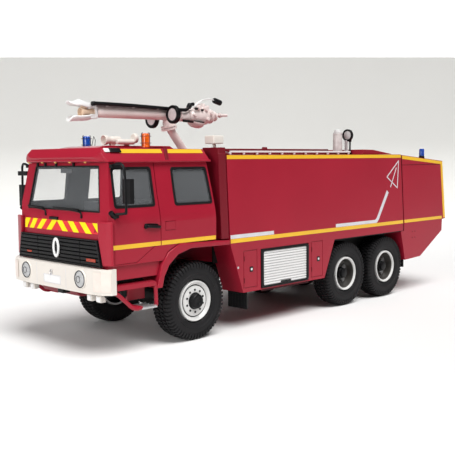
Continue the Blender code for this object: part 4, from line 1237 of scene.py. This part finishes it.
latch, button, hinge = Kit(), Kit(), Kit()
for side, label in SIDES:
    for cx, cz in ((-28.9, 23.5), (-71.2, 23.5)):
        y0, y1 = sorted((side * 28.9, side * 29.15))
        latch.box((cx - 0.95, y0, cz - 1.05), (cx + 0.95, y1, cz + 1.05))
        y0, y1 = sorted((side * 29.1, side * 29.25))
        button.box((cx - 0.45, y0, cz - 0.45), (cx + 0.45, y1, cz + 0.45))
    for cx in (-24.9, -66.7):
        for cz in (19.4, 28.0):
            hinge.rod((cx, side * 29.05, cz - 1.0), (cx, side * 29.05, cz + 1.0), 0.22, sides=10)
    y0, y1 = sorted((side * 28.95, side * 29.12))
    for x, z in ((-146.9, 29.9), (-149.4, 29.9), (-146.9, 26.9), (-149.4, 26.9)):
        hinge.dome((x, side * 28.98, z), 0.4, (0, side, 0), 0.16, 12, 3)
latch.make("door_latches", BLACK, bevel=0.12)
button.make("latch_buttons", WHITE, bevel=0.08)
hinge.make("door_hinges", DARK_RED)
reflectors = Kit()
for side, label in SIDES:
    reflectors.dome((-21.5, side * 28.95, 24.8), 0.5, (0, side, 0), 0.3, 16, 4)
reflectors.make("side_markers", SILVER)
liners = Kit()
for side, label in SIDES:
    y0, y1 = sorted((side * 18.55, side * 18.95))
    liners.box((-139.0, y0, 21.0), (-82.0, y1, 31.1))
    liners.box((-24.0, y0, 26.0), (-17.5, y1, 34.0))
    y0, y1 = sorted((side * 18.6, side * 28.7))
    liners.box((-138.6, y0, 30.55), (-83.2, y1, 31.05))
liners.make("wheel_arch_liners", CHASSIS)

# ---------------------------------------------------------------- rear face
def rear_x(z):
    return between(z, [(34.8, -178.9), (65.0, -178.0)])


rear_lamps, rear_amber, rear_white, rear_black = Kit(), Kit(), Kit(), Kit()
for side, label in SIDES:
    for kit, z in ((rear_amber, 47.4), (rear_lamps, 44.4), (rear_lamps, 41.4), (rear_white, 38.4)):
        kit.lathe([(1.25, 0.15), (1.2, 0.45), (0.8, 0.75), (0, 0.85)][::-1],
                  (rear_x(z), side * 24.3, z), (-1, 0, 0), 24)
    rear_black.box((rear_x(43) - 0.35, min(side * 22.5, side * 26.1), 36.6),
                   (rear_x(43) + 0.2, max(side * 22.5, side * 26.1), 49.2))
    rear_lamps.dome((-178.1, side * 24.6, 61.0), 0.8, (-1, 0, 0), 0.5, 16, 4)
    for z in (40.0, 52.0):
        rear_black.rod((rear_x(z) - 0.1, side * 19.0, z), (rear_x(z) - 1.5, side * 19.0, z), 0.3,
                       sides=12)
    rear_black.rod((rear_x(40) - 1.4, side * 19.0, 39.0), (rear_x(53) - 1.4, side * 19.0, 53.0),
                   0.38, sides=14, rounded=0.1)
rear_lamps.make("tail_lamps", TAIL_RED)
rear_amber.make("rear_indicators", AMBER)
rear_white.make("reversing_lamps", LENS)
rear_black.make("tail_lamp_plates", BLACK, bevel=0.15)
louvres = Kit()
for i in range(11):
    z = 41.0 + i * 1.55
    x = rear_x(z)
    louvres.prism([(x + 0.1, z), (x - 0.55, z + 0.15), (x - 0.55, z + 0.45), (x + 0.1, z + 1.1)],
                  "XZ", -14.0, 14.0)
louvres.make("rear_cooling_louvres", BLACK, bevel=0.05)
rear_trim, rear_bar, rear_field = Kit(), Kit(), Kit()
frame_outer = round_loop([(-15.2, 39.8), (15.2, 39.8), (15.2, 59.2), (-15.2, 59.2)], 1.2, 4)
frame_inner = round_loop([(-14.2, 40.7), (14.2, 40.7), (14.2, 58.3), (-14.2, 58.3)], 0.8, 4)
rear_trim.frame_ring([(rear_x(z) - 0.4, y, z) for y, z in frame_outer],
                     [(rear_x(z) - 0.4, y, z) for y, z in frame_inner], (0.6, 0, 0))
rear_trim.make("rear_louvre_frame", DARK_RED, bevel=0.12)
for k in range(12):
    y0, y1 = -20 + k * 40 / 12, -20 + (k + 1) * 40 / 12
    (rear_bar if k % 2 else rear_field).prism([(y0, 35.6), (y1, 35.6), (y1 + (-1.6 if k < 6 else 1.6) * 0, 38.6),
                                              (y0, 38.6)], "YZ", -179.0, -178.6)
rear_bar.make("rear_band_yellow", LEMON)
rear_field.make("rear_band_red", SCARLET)
refine("rear_tow_bar", BLACK, 0.25)
tow = Kit()
tow.tube([(-179.6 + 0 * a, 1.3 * math.cos(a), 25.4 + 1.3 * math.sin(a))
          for a in [math.tau * i / 20 for i in range(20)]], 0.35, 10, closed=True)
tow.make("rear_towing_eye", SILVER)
under_plate = Kit()
under_plate.box((-180.25, -5.4, 24.6), (-180.1, 5.4, 27.1))
under_plate.make("blank_rear_plate", WHITE, bevel=0.05)

# ---------------------------------------------------------------- roof of the body
for side, label in SIDES:
    ladder = Kit()
    y0, y1 = sorted((side * 24.45, side * 25.35))
    ladder.box((-99.4, y0, 69.35), (-21.6, y1, 70.1))
    for i in range(11):
        x = -21.6 - i * 7.66
        ladder.box((x - 0.5, y0 + 0.1, 68.5), (x + 0.5, y1 - 0.1, 69.5))
    ladder.make(f"roof_rail_{label}", WHITE, bevel=0.12, slot="white_paint",
                replaces=f"roof_ladder_{label}")
cross = Kit()
for i in range(11):
    x = -21.6 - i * 7.66
    for side, label in SIDES:
        y0, y1 = sorted((side * 18.6, side * 24.6))
        cross.box((x - 0.35, y0, 68.45), (x + 0.35, y1, 68.95))
for side, label in SIDES:
    cross.box((-99.0, min(side * 18.4, side * 19.0), 68.45),
              (-21.2, max(side * 18.4, side * 19.0), 69.05))
cross.make("roof_walkway_edges", DARK_RED, bevel=0.08)
walk = Kit()
for i in range(58):
    x = -22.4 - i * 1.32
    for side, label in SIDES:
        y0, y1 = sorted((side * 19.4, side * 23.8))
        walk.box((x - 0.3, y0, 68.45), (x + 0.3, y1, 68.68))
walk.make("roof_walkway_tread", SILVER)
gutter = Kit()
gutter.tube([(-17.6, 24.9, 69.9), (-19.0, 24.9, 69.6), (-20.6, 24.9, 69.1), (-21.4, 24.9, 68.7)],
            0.3, 8, smooth=3)
gutter.make("roof_rail_end", SILVER)
refine("roof_hose_tray", DARK_RED, 0.3)
refine("roof_hatch", RED, 0.3, name="roof_hatch_cover")
fittings = Kit()
fittings.rod((-60.0, 8.0, 71.1), (-60.0, 8.0, 72.0), 1.3, 1.1, 20, rounded=0.2)
for x in (-52.0, -70.0, -88.0):
    fittings.box((x - 1.1, -8.0, 68.4), (x + 1.1, -2.0, 69.3))
for x in (-34.0, -58.0, -82.0):
    fittings.rod((x, -14.0, 68.4), (x, -14.0, 69.9), 2.6, 2.5, 28, rounded=0.3)
    fittings.box((x - 1.2, -14.4, 69.8), (x + 1.2, -13.6, 70.4))
fittings.make("tank_lids_and_fittings", DARK_RED, bevel=0.15)

MAST = surface("mast_translucent", (0.72, 0.66, 0.65), 0.2, vary=0.12, size=2.2, alpha=0.72,
               coat=0.5)
# light mast: clear column, ring lamp on its bracket, base
mast, mastblack, mastlens, masttop = Kit(), Kit(), Kit(), Kit()
mast.lathe([(0, 0), (2.2, 0), (2.2, 9.6), (2.05, 9.8), (0, 9.8)], (-103.3, 15.0, 69.0), (0, 0, 1), 32)
masttop.lathe([(0, 0), (1.5, 0), (1.5, 1.0), (1.2, 1.3), (0, 1.35)], (-103.3, 15.0, 78.9), (0, 0, 1), 32)
for i in (0, 8):
    masttop.tube([(-103.3 + 2.22 * math.cos(a), 15.0 + 2.22 * math.sin(a), 69.6 + i * 1.08)
                  for a in [math.tau * k / 24 for k in range(24)]], 0.1, 6, closed=True)
mastblack.box((-111.4, 12.6, 68.4), (-100.5, 17.4, 69.6))
mastblack.tube([(-111.3, 16.3, 69.4), (-111.3, 16.3, 75.3)], 0.4, 12)
mastblack.rod((-111.3, 16.3, 74.6), (-111.3, 16.3, 76.0), 0.75, sides=14, rounded=0.2)
masttop.tube([(-109.9, 15.2, 69.4), (-109.9, 15.2, 75.3)], 0.6, 12)
for i in range(5):
    masttop.box((-110.6, 14.4, 70.2 + i * 1.1), (-109.0, 16.0, 70.6 + i * 1.1))
c = (-110.6, 15.6, 77.7)
mastblack.lathe([(2.15, 0.5), (2.25, 0.95), (2.65, 0.95), (2.85, 0.7), (2.85, -0.4), (2.4, -0.8),
                 (0, -0.9), (0, -0.35), (2.15, -0.3), (2.15, 0.5)][:9], c, (1, 0, 0), 36)
mastlens.lathe([(2.15, 0.2), (2.0, 0.5), (1.1, 0.75), (0, 0.8)][::-1], c, (1, 0, 0), 28)
mast.make("light_mast_column", MAST, slot="white_paint", replaces="light_mast")
masttop.make("light_mast_cap_and_bands", WHITE)
mastblack.make("mast_lamp_body", BLACK, bevel=0.06)
mastlens.make("mast_lamp_lens", WHITE)

# ---------------------------------------------------------------- water monitor
MONITOR = surface("monitor_paint", (0.86, 0.745, 0.72), 0.36, vary=0.06, size=5, bump=0.12,
                  bump_size=0.4, coat=0.2)
# RAIL_SHADE is a dark grey-brown that paints the shade the foam pipe casts on the barrel's top
RAIL_SHADE = surface("pipe_rail_painted_shade", (0.24, 0.20, 0.20), 0.4, vary=0.15, size=3)
TAN = surface("nozzle_tan", (0.74, 0.55, 0.40), 0.4, vary=0.1, size=1.5, bump=0.1)
riser = Kit()
riser.tube([(-19.6, 0, 68.5), (-19.6, 0, 70.6), (-16.4, 0, 74.6), (-13.6, 0, 78.0),
            (-12.2, 0, 80.6), (-12.0, 0, 83.0)], 1.65, 24, smooth=5)
riser.rod((-19.6, 0, 68.5), (-19.6, 0, 69.6), 3.0, sides=28, rounded=0.2)
riser.rod((-12.2, 0, 79.3), (-12.0, 0, 82.6), 2.5, 2.4, 28, rounded=0.3)
lean = Vector((0.28, 0, 1)).normalized()
c = Vector((-12.3, 0, 78.9))
riser.rod(tuple(c), tuple(c + lean * 0.75), 3.5, sides=6)
riser.rod(tuple(c + lean * 1.0), tuple(c + lean * 1.7), 3.1, sides=28, rounded=0.12)
riser.make("monitor_riser_flanged", MONITOR, bevel=0.08, slot="cream_paint",
           replaces="monitor_riser")
boltring = Kit()
u = lean.orthogonal().normalized()
v = lean.cross(u)
for i in range(8):
    a = math.tau * i / 8
    b = c + (u * math.cos(a) + v * math.sin(a)) * 2.8
    boltring.rod(tuple(b - lean * 0.2), tuple(b + lean * 2.0), 0.22, sides=6)
boltring.make("monitor_flange_bolts", MONITOR)
barrel = Kit()
barrel.lathe([(0, 0), (2.05, 0), (2.05, 1.6), (2.35, 1.7), (2.35, 2.5), (2.05, 2.6), (2.05, 12.0),
              (2.05, 34.0), (2.05, 38.4), (1.9, 38.6), (1.2, 38.7), (0, 38.7)],
             (-15.4, 0, 84.55), (1, 0, 0), 44)
barrel.make("monitor_barrel_turned", MONITOR, slot="cream_paint", replaces="monitor_barrel")
# a flat rail on top of the barrel, coloured as painted shade under the foam pipe
rail = Kit()
rail.prism([(-14.6, 86.3), (24.0, 86.3), (24.0, 86.95), (-14.6, 86.6)], "XZ", -0.9, 2.0)
for x in (20.0, 8.0, -4.0):
    rail.box((x - 0.5, 1.4, 86.3), (x + 0.5, 3.2, 86.75))
rail.make("monitor_pipe_rail", RAIL_SHADE)

# body: a smooth casting on the neck, with its drain cup and valves
BULGE = [(-16.2, 86.2, 82.2, 2.0), (-19.0, 86.0, 82.2, 1.9), (-21.4, 86.4, 82.3, 2.1),
         (-22.6, 86.9, 82.0, 2.6), (-24.4, 87.6, 81.6, 3.2), (-26.4, 88.4, 81.2, 3.5),
         (-29.0, 88.8, 81.0, 3.5), (-31.6, 88.5, 81.2, 3.2), (-34.0, 87.9, 82.0, 2.7),
         (-36.4, 87.1, 83.2, 2.0), (-38.4, 86.3, 84.4, 1.2)]
body = Kit()
rings = []
for x, top, low, half in BULGE:
    mid, tall = (top + low) / 2, (top - low) / 2
    rings.append([(x, half * math.cos(a), mid + tall * math.sin(a))
                  for a in [math.tau * i / 28 for i in range(28)]])
body.loft(rings)
body.rod((-38.0, 0, 85.4), (-44.9, 0, 85.6), 0.75, 0.6, 18, rounded=0.15)
body.rod((-40.2, 0, 85.4), (-41.0, 0, 85.45), 1.05, sides=18, rounded=0.1)
for x, r in ((-17.4, 2.35), (-21.9, 2.75), (-34.6, 2.95), (-37.4, 1.9)):
    body.lathe([(0, -0.35), (r - 0.15, -0.35), (r, -0.2), (r, 0.2), (r - 0.15, 0.35), (0, 0.35)],
               (x, 0, 84.7), (1, 0, 0), 28)
for x, y, z, r, n in ((-25.6, 2.6, 88.0, 0.95, 1.6), (-29.8, 2.6, 87.6, 1.1, 1.2),
                      (-32.6, 2.7, 86.0, 0.9, 1.1), (-23.6, 2.7, 84.9, 0.8, 0.9),
                      (-35.6, 1.9, 85.6, 0.75, 0.9), (-30.6, 3.0, 83.4, 0.8, 0.9)):
    body.rod((x, y - 0.4, z), (x, y + n, z), r, r * 0.9, 18, rounded=0.15)
    body.rod((x, -y + 0.4, z), (x, -y - n, z), r, r * 0.9, 18, rounded=0.15)
body.tube([(-26.2, 0.6, 88.0), (-26.6, 0.9, 89.2), (-27.4, 1.0, 89.9)], 0.75, 14, smooth=3)
body.rod((-30.6, 0, 88.4), (-30.9, 0, 89.9), 1.2, 1.0, 20, rounded=0.2)
body.rod((-33.2, 0, 87.8), (-33.6, 0, 89.2), 0.85, 0.75, 16, rounded=0.15)
body.make("monitor_body_casting", MONITOR, bevel=0.06, slot="cream_paint", replaces="monitor_body")
cup, inside = Kit(), Kit()
cup.lathe([(3.55, 0), (3.75, 0), (3.75, -0.5), (3.3, -1.7), (2.0, -2.6), (0, -2.9), (0, -2.5),
           (1.9, -2.2), (3.0, -1.5), (3.5, -0.4), (3.55, 0)][:10], (-26.6, 0.2, 82.6),
          (-0.12, 0.25, 1), 36)
cup.make("monitor_drain_cup", MONITOR)
inside.lathe([(0, 0.5), (3.3, 0.45), (3.5, 0.1), (3.4, -0.6), (2.4, -1.7), (0, -2.2)],
             (-26.6, 0.35, 82.5), (-0.12, 0.25, 1), 36)
inside.tube([(-17.8, 2.2, 82.4), (-20.0, 2.5, 82.3), (-22.6, 2.9, 82.1)], 0.5, 10, smooth=3)
inside.make("monitor_cup_inside", BLACK)
knob = Kit()
for x, z in ((-24.2, 87.4), (-27.4, 87.0)):
    knob.rod((x, 2.6, z), (x, 3.9, z), 0.5, 0.45, 12, rounded=0.1)
knob.make("monitor_valve_knobs", DARK)

wire, grip = Kit(), Kit()
wire.tube([(-24.9, 1.0, 88.6), (-28.3, 1.0, 90.8), (-32.3, 1.0, 91.9), (-34.6, 1.0, 91.9),
           (-36.6, 1.0, 91.4)], 0.24, 8, smooth=5)
wire.tube([(-24.6, 1.6, 88.2), (-27.2, 1.4, 90.0), (-29.0, 1.2, 90.9)], 0.3, 8, smooth=4)
grip.rod((-36.2, 1.0, 91.5), (-40.2, 1.0, 90.5), 1.2, sides=20, rounded=0.4)
wire.make("monitor_tiller_wire", WHITE)
grip.make("monitor_tiller_grip", BLACK)
pipe = Kit()
pipe.tube([(26.2, 2.75, 87.3), (24.0, 2.75, 87.4), (8.7, 2.75, 87.3), (-8.6, 2.6, 86.9),
           (-16.4, 2.5, 86.7), (-19.4, 2.4, 86.9), (-20.9, 2.4, 88.2), (-21.6, 2.4, 88.9),
           (-23.4, 2.3, 89.3)], 0.72, 16, smooth=4)
pipe.rod((-20.6, 2.4, 87.7), (-21.6, 2.4, 89.2), 1.05, 1.05, 18, rounded=0.2)
pipe.rod((26.6, 2.75, 87.2), (25.2, 2.75, 87.4), 0.85, sides=18, rounded=0.15)
pipe.make("monitor_foam_pipe", BLACK, slot="black_plastic", replaces="monitor_pipe")

# jaws: two hollow fingers on a square root, with the nozzle between them
jaws = Kit()


def finger(top, low, half, wall=0.35):
    """A trough-shaped finger: XZ points of its spine, each with a half width."""
    rings = []
    for (x, z), lip, w in zip(top, low, half):
        ring = []
        for k in range(9):
            a = math.pi * k / 8
            ring.append((x, w * math.cos(a), z - (1 - math.sin(a)) * lip))
        for k in range(8, -1, -1):
            a = math.pi * k / 8
            ring.append((x, (w - wall) * math.cos(a), z - (1 - math.sin(a)) * lip - wall
                         * (1 if lip >= 0 else -1)))
        rings.append(ring)
    jaws.loft(rings)


finger([(25.2, 87.5), (26.4, 87.9), (28.9, 88.5), (30.6, 88.9), (31.9, 88.3), (33.6, 87.8),
        (35.1, 88.2)], [1.6, 1.9, 2.1, 2.2, 1.7, 1.0, 0.7], [1.7, 1.9, 2.1, 2.2, 2.1, 1.9, 1.6])
finger([(25.2, 81.8), (27.4, 81.2), (30.8, 81.0), (33.0, 80.9), (34.0, 80.8), (34.9, 80.7)],
       [-1.6, -1.7, -1.6, -1.7, -1.6, -0.9], [1.7, 1.9, 2.0, 2.1, 2.0, 1.6])
jaws.box((23.5, -1.7, 85.9), (26.8, 1.7, 87.5))
jaws.box((23.5, -1.7, 81.9), (26.2, 1.7, 83.6))
jaws.box((23.4, -1.9, 82.3), (24.3, 1.9, 87.0))
jaws.make("monitor_nozzle_jaws", WHITE, bevel=0.12, slot="cream_paint",
          replaces="monitor_deflector")
tipkit = Kit()
tipkit.lathe([(0, 0), (1.25, 0), (1.25, 2.2), (1.35, 3.6), (1.75, 4.6), (1.8, 5.6), (1.5, 5.65),
              (1.1, 4.6), (0, 4.3)], (24.2, 0, 84.4), (1, 0, -0.05), 28)
tipkit.rod((27.6, 0.5, 86.0), (29.6, 0.5, 86.0), 0.75, sides=16, rounded=0.15)
tipkit.make("monitor_inner_nozzle", TAN)

LAMP_GLASS = surface("pale_lamp_glass", (0.62, 0.56, 0.56), 0.2, vary=0.08, size=2, coat=0.5)
ringlamp, ringlens = Kit(), Kit()
for side, label in SIDES:
    z = 84.4 if side > 0 else 83.1
    c = (-9.2, side * 6.5, z)
    ringlamp.lathe([(2.7, 0.9), (2.8, 1.15), (3.4, 1.15), (3.6, 0.9), (3.6, -0.4), (3.0, -1.0),
                    (0, -1.2), (0, -0.4), (2.35, -0.3), (2.35, 0.9)][:9], c, (1, 0, 0), 40)
    ringlens.lathe([(2.72, 0.5), (2.6, 0.85), (1.4, 1.15), (0, 1.2)][::-1], c, (1, 0, 0), 32)
    y0, y1 = sorted((side * 1.9, side * 3.4))
    ringlamp.box((-9.9, y0, 83.9), (-8.9, y1, 84.9))
ringlamp.make("monitor_lamp_rings", BLACK, slot="black_plastic",
              replaces=("monitor_lamp_left", "monitor_lamp_right"))
ringlens.make("monitor_lamp_lenses", LAMP_GLASS)

# ---------------------------------------------------------------- stage and light
stage = Kit()
CURVE, BACK = 90.0, 640.0
profile = [(700.0, 0.0), (-BACK + CURVE, 0.0)]
for i in range(1, 13):
    a = math.radians(90 * i / 12)
    profile.append((-BACK + CURVE - CURVE * math.sin(a), CURVE - CURVE * math.cos(a)))
look = Vector((forward.x, forward.y, 0)).normalized()
aside = Vector((-look.y, look.x, 0))
wall_at = Vector((-60.0, 0, 0)) + look * BACK


def on_wall(u, v):
    """Where the camera's ray through a picture point meets the wall, in truck mm."""
    ray = forward + right * ((u - 227.5) / FOCAL_PX) - up * ((v - 227.5) / FOCAL_PX)
    eye = Vector((189.38, 235.09, 66.57))
    t = (wall_at - eye).dot(look) / ray.dot(look)
    return eye + ray * t


rings = []
for d, h in profile:
    centre = Vector((-60.0, 0, 0)) - look * d
    rings.append([tuple(centre + aside * w + Vector((0, 0, h - 0.02))) for w in (-1400, 1400)])
edge_a, edge_b = on_wall(0, 57), on_wall(455, 57)
slope = (edge_b.z - edge_a.z) / (edge_b - edge_a).dot(aside)
middle = edge_a + (edge_b - edge_a) * 0.5
offset = (middle - wall_at).dot(aside)
rings.append([tuple(wall_at + aside * w + Vector((0, 0, middle.z + slope * (w - offset))))
              for w in (-1400, 1400)])
stage.loft(rings, closed=False, caps=False)
bmesh.ops.recalc_face_normals(stage.bm, faces=stage.bm.faces[:])
mesh = bpy.data.meshes.new("backdrop")
stage.bm.to_mesh(mesh)
stage.bm.free()
mesh.materials.append(STAGE)
mesh.materials.append(PAPER_WALL)
for polygon in mesh.polygons:
    polygon.material_index = 1 if polygon.center.z > 0.012 else 0
mesh.shade_smooth()
backdrop = bpy.data.objects.new("backdrop", mesh)
scene.collection.objects.link(backdrop)
LIGHT_CARD = surface("white_card", (1.0, 1.0, 1.0), 0.9, vary=0.0, emission=1.2)
card = Kit()
card.loft([[tuple(wall_at + look * 60 + aside * w + Vector((0, 0, 100))) for w in (-480, 480)],
           [tuple(wall_at + look * 60 + aside * w + Vector((0, 0, 420))) for w in (-480, 480)]],
          closed=False, caps=False)
mesh = bpy.data.meshes.new("white_card")
card.bm.to_mesh(mesh)
card.bm.free()
mesh.materials.append(LIGHT_CARD)
card = bpy.data.objects.new("white_card", mesh)
scene.collection.objects.link(card)

world = bpy.data.worlds.new("studio")
world.use_nodes = True
world.node_tree.nodes["Background"].inputs["Color"].default_value = (1.0, 0.99, 0.98, 1)
world.node_tree.nodes["Background"].inputs["Strength"].default_value = 0.08
scene.world = world


def area(name, at, to, size, power, colour=(1, 1, 1)):
    light = bpy.data.lights.new(name, "AREA")
    light.shape = "RECTANGLE"
    light.size, light.size_y = size[0] * MM, size[1] * MM
    light.energy = power
    light.color = colour
    obj = bpy.data.objects.new(name, light)
    a, b = P(*at), P(*to)
    obj.location = a
    obj.rotation_euler = (b - a).to_track_quat("-Z", "Y").to_euler()
    scene.collection.objects.link(obj)


sun = bpy.data.lights.new("key", "SUN")
sun.energy = 3.6
sun.angle = math.radians(42)
sun.color = (1.0, 0.99, 0.98)
key = bpy.data.objects.new("key", sun)
key.rotation_euler = Vector((-0.05, -0.5, -1.0)).to_track_quat("-Z", "Y").to_euler()
scene.collection.objects.link(key)
area("front_fill", (420, 60, 210), (30, 0, 60), (240, 240), 1.1, (1.0, 0.99, 0.98))

scene.view_settings.exposure = 0.0
